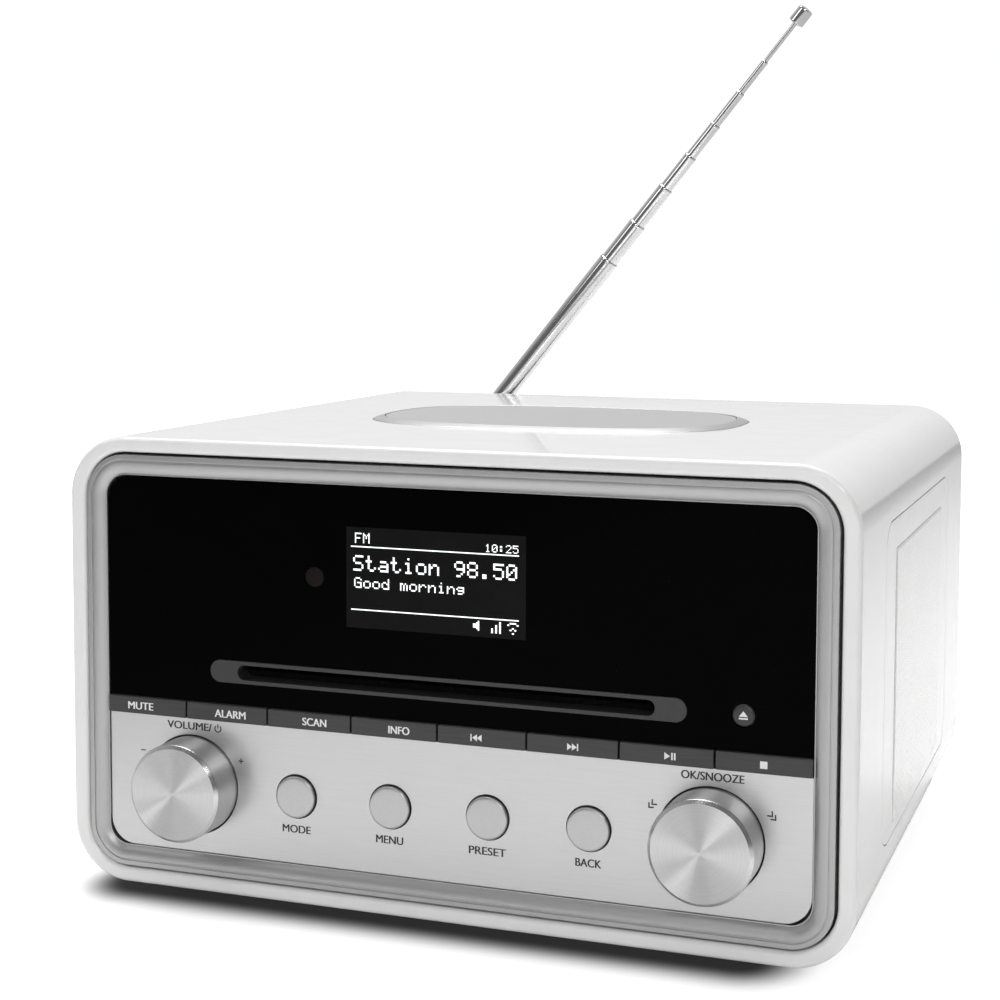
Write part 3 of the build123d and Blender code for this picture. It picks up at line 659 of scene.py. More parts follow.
place(shell, lacquer, "cabinet", "cabinet_shell")

# %% [markdown]
# ## Bezel
#
# The silver bezel is the frame that the eye follows round the front: a bright flat lip, a fine
# dark groove, then a broad band that rolls down towards the panel and ends in a hair-thin inner
# lip. One flat rounded plate is inset step by step, each step going a little inwards and a little
# forwards or back, until its section is complete. What is left in the middle is deleted.


# %% Stepped bezel
def front_plate(name, low, high, radius, depth_at):
    """A flat rounded plate that faces the front, between two (x, z) corners."""
    deselect()
    bpy.ops.mesh.primitive_plane_add(size=1, rotation=(math.pi / 2, 0, 0))
    plate = named(name)
    plate.location = ((low[0] + high[0]) / 2, depth_at, (low[1] + high[1]) / 2)
    plate.scale = (high[0] - low[0], high[1] - low[1], 1)
    settle(plate)
    edit_all(plate)
    bpy.ops.mesh.bevel(offset=radius, segments=14, affect="VERTICES")
    end_edit()
    return plate


BEZEL_CORNER = 13 * MM
bezel = front_plate("bezel", (bezel_low.x, bezel_low.z), (bezel_high.x, bezel_high.z),
                    BEZEL_CORNER, bezel_high.y)
BEZEL_STEPS = [
    (0.0, 4.25), (0.1, 0.17), (0.15, 0.08), (1.2, 0.0), (0.1, -0.06), (0.04, -0.24), (0.3, 0.0),
    (0.06, 0.1), (0.2, 0.1), (0.4, 0.03), (0.5, -0.03), (0.6, -0.1), (0.6, -0.17), (0.6, -0.25),
    (0.55, -0.33), (0.5, -0.4), (0.2, -0.2), (0.03, 0.12), (0.3, 0.0), (0.02, -1.5),
]
step_in(bezel, BEZEL_STEPS)
bpy.ops.mesh.delete(type="FACE")
end_edit()
smooth(bezel, 30)
place(bezel, bezel_silver, "cabinet", "bezel_ring")
print("bezel band:", round(sum(s[0] for s in BEZEL_STEPS), 2), "mm")

# %% [markdown]
# ## Disc slot
#
# A dark grey trim with round ends frames the slot, and two strips of felt hide the drive behind
# it. The trim is a rounded block with a rounded hole, and the slot's lips are softened so that
# they catch a thin line of light.

# %% Slot trim
SLIT_HALF, SLIT_HALF_HEIGHT, SLIT_ROUND, TRIM_ROUND = 66.6 * MM, 2.3 * MM, 2.25 * MM, 3.45 * MM
trim_low, trim_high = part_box("slot_trim")
slot_z = middle("slot_trim").z
trim = rounded_block("disc_slot_trim", trim_low, trim_high, TRIM_ROUND, axis=1, segments=14)
slit = rounded_block("slit", (-SLIT_HALF, trim_low.y - MM, slot_z - SLIT_HALF_HEIGHT),
                     (SLIT_HALF, trim_high.y + MM, slot_z + SLIT_HALF_HEIGHT), SLIT_ROUND, axis=1)
cut(trim, slit)
soften(trim, 0.4 * MM, segments=4, angle=50)
smooth(trim)
place(trim, trim_grey, "cabinet", "slot_trim")

# %% [markdown]
# ## Printed marks
#
# Legends are printed, so they are almost flat: text is made a mesh, brought to its real width and
# height, and laid a hair above its surface. A second copy a fifth of a millimetre to the side
# makes its strokes bolder. Arrows, bars and rings for the symbols are cut from the same stock.

# %% Legends and small marks
PRINT = 0.03 * MM
BOLDER = {"value": (0.19 * MM, -0.002 * MM, 0)}


def legend(name, words, width, height, centre, surface):
    """Words facing the front, as wide and as high as given, printed on a surface."""
    deselect()
    bpy.ops.object.text_add(rotation=(math.pi / 2, 0, 0))
    bpy.context.object.data.body = words
    bpy.context.object.data.extrude = 0.01
    bpy.ops.object.convert(target="MESH")
    mark = settle(named(name))
    corners = [v.co for v in mark.data.vertices]
    low = Vector([min(c[i] for c in corners) for i in range(3)])
    high = Vector([max(c[i] for c in corners) for i in range(3)])
    ratio = (width / (high.x - low.x), PRINT / (high.y - low.y), height / (high.z - low.z))
    half = (low + high) / 2
    target = Vector((centre[0], surface - PRINT / 2, centre[1]))
    for vertex in mark.data.vertices:
        offset = vertex.co - half
        vertex.co = target + Vector([offset[i] * ratio[i] for i in range(3)])
    edit_all(mark)
    bpy.ops.mesh.duplicate_move(TRANSFORM_OT_translate=BOLDER)
    end_edit()
    return mark


def bar(centre, width, height, surface, turn=0.0):
    """A flat bar, turned about its own middle by some degrees."""
    deselect()
    bpy.ops.mesh.primitive_cube_add(
        size=1, location=(centre[0], surface - PRINT / 2, centre[1]),
        rotation=(0, math.radians(turn), 0),
    )
    made = bpy.context.object
    made.scale = (width, PRINT, height)
    return settle(made)


def arrow(centre, width, height, surface, up=False, back=False):
    """A flat triangle that points right, left or up."""
    made = bar(centre, width, height, surface)
    for vertex in made.data.vertices:
        offset = vertex.co - Vector((centre[0], 0, centre[1]))
        if up and offset.z > 0:
            vertex.co.x = centre[0]
        if not up and (offset.x > 0) != back:
            vertex.co.z = centre[1]
    edit_all(made)
    bpy.ops.mesh.remove_doubles(threshold=0.001 * MM)
    bpy.ops.mesh.normals_make_consistent(inside=False)
    end_edit()
    return made


def arc(centre, radius, width, surface, start, sweep):
    """A flat bent stroke: a short edge spun about the centre, angles counted from upright."""
    made = bar((centre[0], centre[1] + radius), 0.001 * MM, width, surface)
    edit_all(made)
    middle_point = (centre[0], surface, centre[1])
    bpy.ops.mesh.remove_doubles(threshold=0.01 * MM)
    bpy.ops.mesh.spin(steps=36, angle=math.radians(sweep), center=middle_point, axis=(0, 1, 0))
    end_edit()
    turn = Matrix.Rotation(math.radians(start), 4, "Y")
    move = Matrix.Translation(middle_point)
    made.matrix_world = move @ turn @ move.inverted()
    settle(made)
    edit_all(made)
    bpy.ops.mesh.normals_make_consistent(inside=False)
    end_edit()
    return made


# %% [markdown]
# ## Keys
#
# Eight flat keys close the gloss panel off below. Each is a slim block with fine rounded edges on
# a stem that reaches back to its switch. The legend is joined to its key, so it is pressed along
# with it. The four transport keys carry symbols built from triangles and bars.

# %% One key, and its legend
LEGEND_WIDTHS = {"mute": 8.9, "alarm": 10.6, "scan": 7.9, "info": 6.7}
LEGEND_HEIGHT = 2.35 * MM
MARK_X = {
    "mute": -100.6, "alarm": -69.0, "scan": -40.2, "info": -12.3,
    "previous": 12.7, "next": 42.1, "play": 71.3, "stop": 98.4,
}
CAP_DEPTH, STEM_HALF_X, STEM_HALF_Z = 3 * MM, 2 * MM, 1 * MM
key_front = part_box("mute_key")[0].y


def symbol(kind, x, z):
    """The usual sign for previous, next, play and stop, about 4 mm wide."""
    size = 2.1 * MM
    thin = 0.38 * MM
    if kind == "stop":
        return [bar((x, z), size, size, key_front)]
    if kind == "play":
        bars = [bar((x + step * MM, z), thin * 1.3, size, key_front) for step in (0.7, 1.5)]
        return bars + [arrow((x - 0.7 * MM, z), 1.7 * MM, size, key_front)]
    previous = kind == "previous"
    way = -1 if previous else 1
    wings = [
        arrow((x + step * MM, z), 1.5 * MM, size, key_front, back=previous)
        for step in (-0.65, 0.8)
    ]
    return wings + [bar((x + way * 1.78 * MM, z), thin, size, key_front)]


for key, mark_x in MARK_X.items():
    node = key + "_key"
    low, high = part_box(node)
    centre = middle(node)
    cap = block(node + "_cap", low, (high.x, low.y + CAP_DEPTH, high.z))
    soften(cap, 0.35 * MM, segments=4)
    smooth(cap)
    stem = block(
        "stem", (centre.x - STEM_HALF_X, low.y + CAP_DEPTH - 0.1 * MM, centre.z - STEM_HALF_Z),
        (centre.x + STEM_HALF_X, high.y, centre.z + STEM_HALF_Z),
    )
    soften(stem, 0.2 * MM, segments=1)
    key_place = (mark_x * MM, centre.z - 0.1 * MM)
    if key in LEGEND_WIDTHS:
        width = LEGEND_WIDTHS[key] * MM
        marks = [legend("mark", key.upper(), width, LEGEND_HEIGHT, key_place, key_front)]
    else:
        marks = symbol(key, *key_place)
    for mark in marks:
        paint(mark, ink_white)
    for part in (cap, stem):
        paint(part, key_grey)
    piece = join(node + "_finished", [cap, stem] + marks)
    place(piece, None, node, node)

# %% [markdown]
# ## Round buttons
#
# The four round buttons are satin caps, slightly domed, with a soft edge. A section of their
# profile is spun once about each button's own axis, together with its stem.

# %% Domed buttons, sections in (radius, distance behind the panel's face)
BUTTON_SECTION = [
    (0, -1.5), (2.2, -1.495), (4.2, -1.47), (5.6, -1.42), (6.1, -1.36), (6.38, -1.2), (6.5, -0.9),
    (6.5, 1.5), (1.7, 1.5), (1.7, 8.0), (0, 8.0),
]
for name in ("mode", "menu", "preset", "back"):
    node = name + "_button"
    low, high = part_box(node)
    centre = middle(node)
    base = Vector((centre.x, panel_face, centre.z))
    reach = (high.y - panel_face) / MM
    section = [(r, min(y, reach)) for r, y in BUTTON_SECTION]
    button = turned(node + "_finished", section, base, steps=72)
    smooth(button, 40)
    place(button, button_satin, node, node)

# %% [markdown]
# ## Knobs
#
# Both knobs are turned from solid aluminium. The flat face has lathe rings, a bright polished
# chamfer runs round it and the skirt is brushed around its length. A shallow undercut at the back
# keeps the knob clear of the panel.

# %% Turned knobs
KNOB_SECTION = [
    (0, -12.5), (3.0, -12.5), (8.0, -12.5), (14.05, -12.5), (14.2, -12.47), (15.1, -11.65),
    (15.22, -11.5), (15.3, -11.3), (15.3, 0.6), (15.1, 1.1), (14.6, 1.4), (9.0, 1.4), (9.0, -8.0),
    (3.0, -8.0), (3.0, 9.9), (2.6, 10.0), (0, 10.0),
]
CHAMFER_SLOPE = -0.64
edge_y = panel_face - 11 * MM
polished_edge = finish("polished_edge", GRAIN, 0.66, 0.72, (0.2, 0.04), Scale=900.0,
                       constants=METAL)
for name in ("volume", "tuning"):
    node = name + "_knob"
    centre = middle(node)
    base = Vector((centre.x, panel_face, centre.z))
    knob = turned(node + "_finished", KNOB_SECTION, base, steps=144)
    smooth(knob, 20)
    paint(knob, spun(node + "_metal", base), polished_edge)
    pick_faces(
        knob,
        lambda middle_of_face, normal: abs(normal.y - CHAMFER_SLOPE) < 0.25
        and middle_of_face.y < edge_y,
    )
    knob.active_material_index = 1
    bpy.ops.object.material_slot_assign()
    end_edit()
    place(knob, None, node, node)

# %% [markdown]
# ## Eject button
#
# A small domed button next to the slot, with the usual triangle over a bar.

# %% Eject button and its sign
eject = middle("eject_button")
eject_low, eject_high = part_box("eject_button")
EJECT_SECTION = [
    (0, 0.0), (2.2, 0.02), (2.8, 0.12), (3.15, 0.4), (3.3, 0.8), (3.3, 3.0), (1.7, 3.0),
    (1.7, 8.0), (0, 8.0),
]
reach = (eject_high.y - eject_low.y) / MM
section = [(r, min(y, reach)) for r, y in EJECT_SECTION]
cap = turned("eject_cap", section, (eject.x, eject_low.y, eject.z), steps=48)
smooth(cap, 40)
paint(cap, trim_grey)
SIGN_WIDTH = 2.6 * MM
marks = [
    arrow((eject.x, eject.z + 0.5 * MM), SIGN_WIDTH, 1.6 * MM, eject_low.y, up=True),
    bar((eject.x, eject.z - 0.85 * MM), SIGN_WIDTH, 0.45 * MM, eject_low.y),
]
for mark in marks:
    paint(mark, ink_white)
piece = join("eject_button_finished", [cap] + marks)
place(piece, None, "eject_button", "eject_button")

# %% [markdown]
# ## Panel legends
#
# The words under and over the controls are printed in black on the brushed panel, and so are the
# signs beside the knobs: minus and plus at the volume knob, back and on arrows at the tuning
# knob. They are joined into one thin print.

# %% Print on the brushed panel: words with their width, and where they and the signs stand
PANEL_WORDS = [
    ("VOLUME/", 15.6, -84.1, 56.9),
    ("OK/SNOOZE", 18.2, 83.4, 57.0),
    ("MODE", 9.4, -47.1, 27.9),
    ("MENU", 8.8, -16.0, 27.9),
    ("PRESET", 11.6, 15.5, 27.9),
    ("BACK", 7.8, 46.8, 27.9),
]
WORD_HEIGHT, STROKE, SIGN_LENGTH = 2.4 * MM, 0.38 * MM, 1.7 * MM
POWER_SIGN, POWER_RADIUS = (-74.0 * MM, 56.8 * MM), 1.05 * MM
MINUS_SIGN, PLUS_SIGN = (-100.6 * MM, 47.7 * MM), (-66.0 * MM, 47.3 * MM)
THIN_STROKE = 0.36 * MM
marks = [
    legend("mark", words, width * MM, WORD_HEIGHT, (x * MM, z * MM), panel_face)
    for words, width, x, z in PANEL_WORDS
]
marks += [
    arc(POWER_SIGN, POWER_RADIUS, STROKE, panel_face, -38, 284),
    bar((POWER_SIGN[0], POWER_SIGN[1] + 0.75 * MM), STROKE, 1.35 * MM, panel_face),
    bar(MINUS_SIGN, SIGN_LENGTH, THIN_STROKE, panel_face),
    bar(PLUS_SIGN, SIGN_LENGTH, THIN_STROKE, panel_face),
    bar(PLUS_SIGN, THIN_STROKE, SIGN_LENGTH, panel_face),
]


def chevron(tip, heading):
    """Two short bars that meet at a tip; the heading is counted clockwise from upright."""
    arms = []
    for fold in (-42, 42):
        turn = heading + 180 + fold
        half = 0.68 * MM
        centre = (tip[0] + half * math.sin(math.radians(turn)),
                  tip[1] + half * math.cos(math.radians(turn)))
        arms.append(bar(centre, 0.42 * MM, 1.6 * MM, panel_face, turn=turn))
    return arms


for x, z, heading in ((65.8, 47.2, 225), (100.8, 47.3, 135)):
    for step in (-0.1, 1.25):
        ahead = math.radians(heading)
        tip = ((x + step * math.sin(ahead)) * MM, (z + step * math.cos(ahead)) * MM)
        marks += chevron(tip, heading)
place(join("panel_print", marks), ink_black, "cabinet", slot="brushed_aluminium")

# %% [markdown]
# ## Display
#
# The small display sits behind the gloss panel. Its glass is a touch lighter than the panel
# around it, and its picture is built from lit dots. Each letter is drawn on a grid five dots wide
# and seven high, one row of 0 and 1 for each line of the letter, and runs of lit dots become one
# thin bar each.

# %% Letters on a five by seven grid
GLYPHS = {
    "F": "11111 10000 10000 11110 10000 10000 10000",
    "G": "01110 10001 10000 10111 10001 10001 01111",
    "M": "10001 11011 10101 10101 10001 10001 10001",
    "S": "01111 10000 10000 01110 00001 00001 11110",
    "a": "00000 00000 01110 00001 01111 10001 01111",
    "d": "00001 00001 01101 10011 10001 10001 01111",
    "g": "00000 00000 01111 10001 01111 00001 01110",
    "i": "00100 00000 01100 00100 00100 00100 01110",
    "m": "00000 00000 11010 10101 10101 10101 10101",
    "n": "00000 00000 10110 11001 10001 10001 10001",
    "o": "00000 00000 01110 10001 10001 10001 01110",
    "r": "00000 00000 10110 11001 10000 10000 10000",
    "t": "01000 01000 11100 01000 01000 01001 00110",
    "0": "01110 10001 10011 10101 11001 10001 01110",
    "1": "00100 01100 00100 00100 00100 00100 01110",
    "2": "01110 10001 00001 00010 00100 01000 11111",
    "5": "11111 10000 11110 00001 00001 10001 01110",
    "8": "01110 10001 10001 01110 10001 10001 01110",
    "9": "01110 10001 10001 01111 00001 00010 01100",
    ".": "00000 00000 00000 00000 00000 01100 01100",
    ":": "00000 01100 01100 00000 01100 01100 00000",
    " ": "00000 00000 00000 00000 00000 00000 00000",
    # speaker, signal bars and radio waves
    "<": "00010 00110 11110 11110 11110 00110 00010",
    "#": "00001 00001 00101 00101 10101 10101 10101",
    "^": "01110 10001 00000 00100 01010 00000 00100",
}
SCREEN_X, SCREEN_Z, SCREEN_WIDTH, SCREEN_HEIGHT = -1.3 * MM, 107.2 * MM, 57.4 * MM, 30.6 * MM
glass_face = panel_face - 0.02 * MM
left = SCREEN_X - SCREEN_WIDTH / 2
upper = SCREEN_Z + SCREEN_HEIGHT / 2


# %% Lit dots
LETTER_STEP, GRID_WIDTH = 6, 5


def write_dots(words, start, drop, dot_x, dot_z):
    """Bars for the lit dots of some words, placed from the glass's upper left corner."""
    bars = []
    for place_in_row, letter in enumerate(words):
        for row, dots in enumerate(GLYPHS[letter].split()):
            column = 0
            while column < GRID_WIDTH:
                run = len(dots[column:]) - len(dots[column:].lstrip("1"))
                if run:
                    along = place_in_row * LETTER_STEP + column + run / 2
                    x = left + (start + along * dot_x) * MM
                    z = upper - drop * MM - (row + 0.5) * dot_z * MM
                    bars.append((x, z, (run - 0.12) * dot_x * MM, 0.88 * dot_z * MM))
                column += max(run, 1)
    return bars


SCREEN_LINES = [
    ("FM", 2.9, 1.7, 0.44, 0.45), ("10:25", 44.6, 2.9, 0.36, 0.34),
    ("Station 98.50", 2.3, 8.5, 0.68, 0.68), ("Good morning", 2.6, 15.2, 0.5, 0.46),
    ("<", 40.9, 25.8, 0.5, 0.42), ("#", 46.6, 25.7, 0.62, 0.5), ("^", 51.6, 25.7, 0.72, 0.5),
]
RULE_DROPS, RULE_LENGTH, RULE_WIDTH = (5.9, 25.0), 53.6 * MM, 0.36 * MM
lit = []
for line in SCREEN_LINES:
    lit += write_dots(*line)
for drop in RULE_DROPS:
    lit.append((left + 28.4 * MM, upper - drop * MM, RULE_LENGTH, RULE_WIDTH))
deselect()
bpy.ops.mesh.primitive_plane_add(size=1, rotation=(math.pi / 2, 0, 0))
dots = named("display_dots")
bpy.ops.object.mode_set(mode="EDIT")
bpy.ops.mesh.delete(type="FACE")
for x, z, width, height in lit:
    spot = (x, glass_face - 0.02 * MM, z)
    bpy.ops.mesh.primitive_plane_add(size=MM, location=spot, rotation=(math.pi / 2, 0, 0))
    bpy.ops.transform.resize(value=(width / MM, 1, height / MM), center_override=spot)
end_edit()
settle(dots)
lit_white = finish("lit_white", GRAIN, 0.8, 0.9, (0.4, 0.1), Scale=900.0,
                   constants={"Emission Color": (0.93, 0.97, 1, 1), "Emission Strength": 0.85})
place(dots, lit_white, "cabinet", slot="gloss_black")
glass = block("display_glass", (left, glass_face, upper - SCREEN_HEIGHT),
              (left + SCREEN_WIDTH, panel_face + 0.2 * MM, upper))
soften(glass, 0.05 * MM, segments=1)
display_glass = finish("display_glass", GRAIN, 0.007, 0.009, (0.12, 0.04), Scale=200.0,
                       constants={"Specular IOR Level": 0.04})
place(glass, display_glass, "cabinet", slot="gloss_black")
print("lit bars:", len(lit))

# %% [markdown]
# ## Side panels
#
# A speaker breathes through each side panel: a plate with round corners, set in its pocket with a
# hairline seam, and a field of fine round holes in staggered columns. One cell with two holes is
# modelled: a small grid whose two chosen corners are bevelled round, opened and pulled inwards.
# An array repeats it over the field, and the plate is cut out where the field sits.

# %% One cell with two holes
CELL_Y, CELL_Z = 4.08 * MM, 2.45 * MM
COLUMNS, ROWS = 25, 34
HOLE_RADIUS, HOLE_DEPTH = 0.47 * MM, 0.9 * MM
PROUD, SLOPE = 0.35 * MM, 0.8 * MM
field_low_z = 31.7 * MM
field_height = ROWS * CELL_Z
field_y = COLUMNS * CELL_Y / 2


def hole_cell():
    """A cell facing +X at the origin, CELL_Y long and CELL_Z high, with two deep holes."""
    deselect()
    bpy.ops.mesh.primitive_grid_add(x_subdivisions=4, y_subdivisions=4, size=1)
    cell = named("hole_cell")
    for vertex in cell.data.vertices:
        x, y = vertex.co.x, vertex.co.y
        vertex.co = Vector((0, (x + 0.5) * CELL_Y, (y + 0.5) * CELL_Z))
    mesh = start_edit(cell, "VERT")
    for vertex in mesh.verts:
        share_y, share_z = vertex.co.y / CELL_Y, vertex.co.z / CELL_Z
        first = abs(share_y - 0.25) < 0.01 and abs(share_z - 0.25) < 0.01
        second = abs(share_y - 0.75) < 0.01 and abs(share_z - 0.75) < 0.01
        vertex.select_set(first or second)
    bmesh.update_edit_mesh(cell.data)
    bpy.ops.mesh.bevel(offset=HOLE_RADIUS, segments=2, affect="VERTICES")
    bpy.ops.mesh.select_mode(type="FACE")
    mesh = bmesh.from_edit_mesh(cell.data)
    for face in mesh.faces:
        centre = face.calc_center_median()
        holes = [Vector((0, share * CELL_Y, share * CELL_Z)) for share in (0.25, 0.75)]
        face.select_set(min((centre - hole).length for hole in holes) < 0.3 * MM)
    bmesh.update_edit_mesh(cell.data)
    bpy.ops.mesh.extrude_region_move(TRANSFORM_OT_translate={"value": (-HOLE_DEPTH, 0, 0)})
    bpy.ops.mesh.delete(type="FACE")
    end_edit()
    return cell


# %% Plate, field, slope and backing of one side
PLATE_CORNER = 9.7 * MM
CLOTH_DEPTHS = (2.2 * MM, 1.6 * MM)


def side_panel(name, node, way):
    """A finished side panel and the cloth behind it; way is 1 at the right and -1 at the left."""
    low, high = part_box(node)
    plate = rounded_block(name + "_plate", low, high, PLATE_CORNER, axis=0)
    window = block("window", (low.x - MM, -field_y - SLOPE, field_low_z - SLOPE),
                   (high.x + MM, field_y + SLOPE, field_low_z + field_height + SLOPE))
    cut(plate, window)
    soften(plate, FINE_EDGE, segments=2, angle=50)
    smooth(plate)
    field = hole_cell()
    for count, offset in ((COLUMNS, (0, CELL_Y, 0)), (ROWS, (0, 0, CELL_Z))):
        apply_modifier(field, "ARRAY", count=count, use_relative_offset=False,
                       use_constant_offset=True, constant_offset_displace=offset,
                       use_merge_vertices=True, merge_threshold=0.001 * MM)
    if way < 0:
        field.rotation_euler = (0, 0, math.pi)
    field.location = (way * (side + PROUD), -way * field_y, field_low_z)
    settle(field)
    deselect()
    bpy.ops.mesh.primitive_plane_add(size=1, rotation=(0, way * math.pi / 2, 0))
    rim = named("slope")
    rim.location = (way * side, 0, field_low_z + field_height / 2)
    rim.scale = (field_height + 2 * SLOPE, 2 * field_y + 2 * SLOPE, 1)
    settle(rim)
    pick_faces(rim, lambda centre, normal: True)
    bpy.ops.mesh.inset(thickness=SLOPE, depth=PROUD, use_even_offset=True)
    bpy.ops.mesh.delete(type="FACE")
    end_edit()
    panel = join(name, [plate, field, rim])
    place(panel, lacquer, "cabinet", node)
    inner, outer = sorted(way * (side - depth) for depth in CLOTH_DEPTHS)
    cloth = block(name + "_cloth", (inner, -field_y, field_low_z),
                  (outer, field_y, field_low_z + field_height))
    soften(cloth, 0.1 * MM, segments=1)
    place(cloth, cloth_black, "cabinet", slot="cone_paper")


side_panel("right_side_panel", "right_grille", 1)
side_panel("left_side_panel", "left_grille", -1)

# %% [markdown]
# ## Charging pad
#
# The pad on the deck is outlined by a superellipse, fuller than an ellipse and rounder than a
# rectangle. A silver ring with a broad bevel rises out of the deck around a satin grey plate.

# %% Ring and plate
PAD_START = deck - 2.3 * MM
ring = pad_plate("pad_ring_finished", 65 * MM, 45.5 * MM, PAD_START)
step_in(ring, [(0.0, 2.35), (0.1, 0.1), (0.5, 0.22), (2.4, 0.76), (0.35, 0.05), (0.5, 0.0),
               (0.08, -0.06), (0.02, -3.0)])
bpy.ops.mesh.delete(type="FACE")
end_edit()
smooth(ring, 30)
place(ring, bezel_silver, "cabinet", "pad_ring")
plate = pad_plate("charging_pad_finished", 60.95 * MM, 41.45 * MM, PAD_START)
step_in(plate, [(0.0, 3.2), (0.06, 0.12), (0.15, 0.09), (0.2, 0.04)])
end_edit()
smooth(plate, 30)
place(plate, pad_rubber, "cabinet", "charging_pad")

# %% [markdown]
# ## Feet and screws
#
# Four turned rubber feet, each with a shallow dimple underneath, and four blackened screws with a
# cross recess in the rear cover.

# %% Feet
FOOT_SECTION = [
    (0, 0.5), (4.2, 0.5), (4.7, 0.0), (7.3, 0.0), (7.8, 0.2), (8.0, 0.7), (8.0, 5.0), (0, 5.0),
]
FOOT_X, FOOT_Y = 95 * MM, 88 * MM
feet = join("rubber_feet", [
    turned("foot", FOOT_SECTION, (x, y, 0), axis="Z", steps=40)
    for x in (-FOOT_X, FOOT_X) for y in (-FOOT_Y, FOOT_Y)
])
smooth(feet)
place(feet, foot_rubber, "cabinet", "feet")

# %% Screws
screw_low, screw_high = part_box("cover_screws")
shank_end = (screw_low.y - screw_high.y) / MM
SCREW_SECTION = [
    (0, 0), (1.6, -0.12), (2.6, -0.5), (3.0, -1.1), (3.0, -2.0), (1.5, -2.0), (1.5, shank_end),
    (0, shank_end),
]
SCREW_X, SCREW_HEIGHTS = 111 * MM, (18.4 * MM, 133.6 * MM)
CROSS_LONG, CROSS_THIN, CROSS_DEPTH = 1.5 * MM, 0.35 * MM, 1.2 * MM
screws = []
for x in (-SCREW_X, SCREW_X):
    for z in SCREW_HEIGHTS:
        screw = turned("screw", SCREW_SECTION, (x, screw_high.y, z), steps=32)
        for half_x, half_z in ((CROSS_LONG, CROSS_THIN), (CROSS_THIN, CROSS_LONG)):
            blade = block("blade", (x - half_x, screw_high.y - CROSS_DEPTH, z - half_z),
                          (x + half_x, screw_high.y + MM, z + half_z))
            cut(screw, blade)
        screws.append(screw)
screws = join("crosshead_screws", screws)
smooth(screws)
place(screws, screw_steel, "cabinet", "cover_screws")

# %% [markdown]
# ## Telescopic aerial
#
# The aerial is eight chromed pieces that slide into each other. Every tube is spun upright at the
# origin, its mouth rolled inwards the way a tube is crimped round the next one, and then leaned
# over and carried to the hinge. The thinnest piece is a rod with a turned tip.

# %% Spin and lean the sections
LEAN = math.radians(39.1)
hinge = middle("aerial_pin")
lean = Matrix.Rotation(LEAN, 4, "Y")
DIAMETERS = [8.0, 7.0, 6.0, 5.0, 4.2, 3.4, 2.6, 1.8]
EXPOSED = [19.0, 18.7, 16.2, 16.0, 16.0, 15.5, 18.2]
SECTION_LENGTH, FIRST_START, FIRST_END, WALL_GAP = 100.0, 6.0, 110.3, 0.07
end = FIRST_END
for number in range(7):
    radius = DIAMETERS[number] / 2
    bore = DIAMETERS[number + 1] / 2 + WALL_GAP
    start = end - SECTION_LENGTH if number else FIRST_START
    lip = min(0.5, (radius - bore) * 1.4 + 0.15)
    section = [
        (bore, start), (radius - 0.1, start), (radius, start + 0.2), (radius, end - 1.5),
        (radius + 0.04, end - 1.3), (radius + 0.04, end - lip - 0.15),
        (radius - 0.05, end - lip / 2), (radius - 0.16, end - 0.12), (bore + 0.12, end),
        (bore, end - 0.08), (bore, start),
    ]
    node = f"aerial_tube_{number + 1}"
    tube = turned(node + "_finished", section, (0, 0, 0), axis="Z", steps=48)
    if number == 0:
        blade = rounded_block("blade", (-3.4 * MM, -1.55 * MM, -3.6 * MM),
                              (3.4 * MM, 1.55 * MM, 8 * MM), 3.3 * MM, axis=1)
        soften(blade, 0.25 * MM, segments=2, angle=50)
        tube = join(node + "_finished", [tube, blade])
    tilt_mesh(tube, lean, hinge)
    smooth(tube, 30)
    place(tube, chrome, node, node)
    end += EXPOSED[number]
ROD_SECTION = [
    (0.0, -SECTION_LENGTH), (0.8, -SECTION_LENGTH), (0.9, 0.2 - SECTION_LENGTH), (0.9, 0),
    (1.6, 0.1), (2.9, 0.35), (3.1, 0.7), (3.1, 6.3), (2.9, 6.9), (2.2, 7.35), (1.0, 7.5), (0, 7.5),
]
section = [(r, end + z) for r, z in ROD_SECTION]
rod = turned("aerial_rod_finished", section, (0, 0, 0), axis="Z", steps=40)
tilt_mesh(rod, lean, hinge)
smooth(rod, 30)
place(rod, chrome, "aerial_rod", "aerial_rod")

# %% [markdown]
# ## Floor and light
#
# The radio stands on a plain white floor in a bright studio. Close to it the floor is a matt
# surface that takes its shadow, and a painted shadow also darkens its colour and its glow where
# cabinet and floor nearly meet. Further out it glows, so floor and background meet without a
# line. To either side its own colour is darker than it looks, so that less light comes up on the
# white sides.
#
# A large lamp hangs above, a weak one stands to the left, and a small one to the upper right draws
# the bright cones on the turned knobs. One wide lamp in front is kept above the table, because the
# upright gloss panel mirrors only what lies lower, and so it stays black while the brushed metal
# still catches the light.

# %% Floor
SHADOW_CENTRE_X, SHADOW_HALF_X, SHADOW_HALF_Y = -0.010, 0.098, 0.100
SHADOW_FROM, SHADOW_TO, SHADOW_DEPTH = 0.006, 0.028, 0.03
DIM_FROM, DIM_TO, DIMMEST = 0.12, 0.34, 0.6
GLOW_FROM, GLOW_TO, GLOW_LEAST, GLOW_STRENGTH = 0.14, 0.4, 0.6, 1.35
deselect()
bpy.ops.mesh.primitive_circle_add(vertices=96, radius=9, fill_type="NGON", location=(0, 0, 0))
floor = named("floor")
floor_finish = bpy.data.materials.new("floor")
floor_finish.use_nodes = True
tree = floor_finish.node_tree
shader = tree.nodes["Principled BSDF"]
shader.inputs["Roughness"].default_value = 0.6
shader.inputs["Specular IOR Level"].default_value = 0.1
where = tree.nodes.new("ShaderNodeTexCoord").outputs["Object"]
# Painted shadow: the floor's colour is darkened by how little a point lies beyond a box round the
# cabinet's footprint.
beyond = maths(tree, "ADD", where, (-SHADOW_CENTRE_X, 0, 0), "VectorMath")
beyond = maths(tree, "ABSOLUTE", beyond, kind="VectorMath")
beyond = maths(tree, "SUBTRACT", beyond, (SHADOW_HALF_X, SHADOW_HALF_Y, 0), "VectorMath")
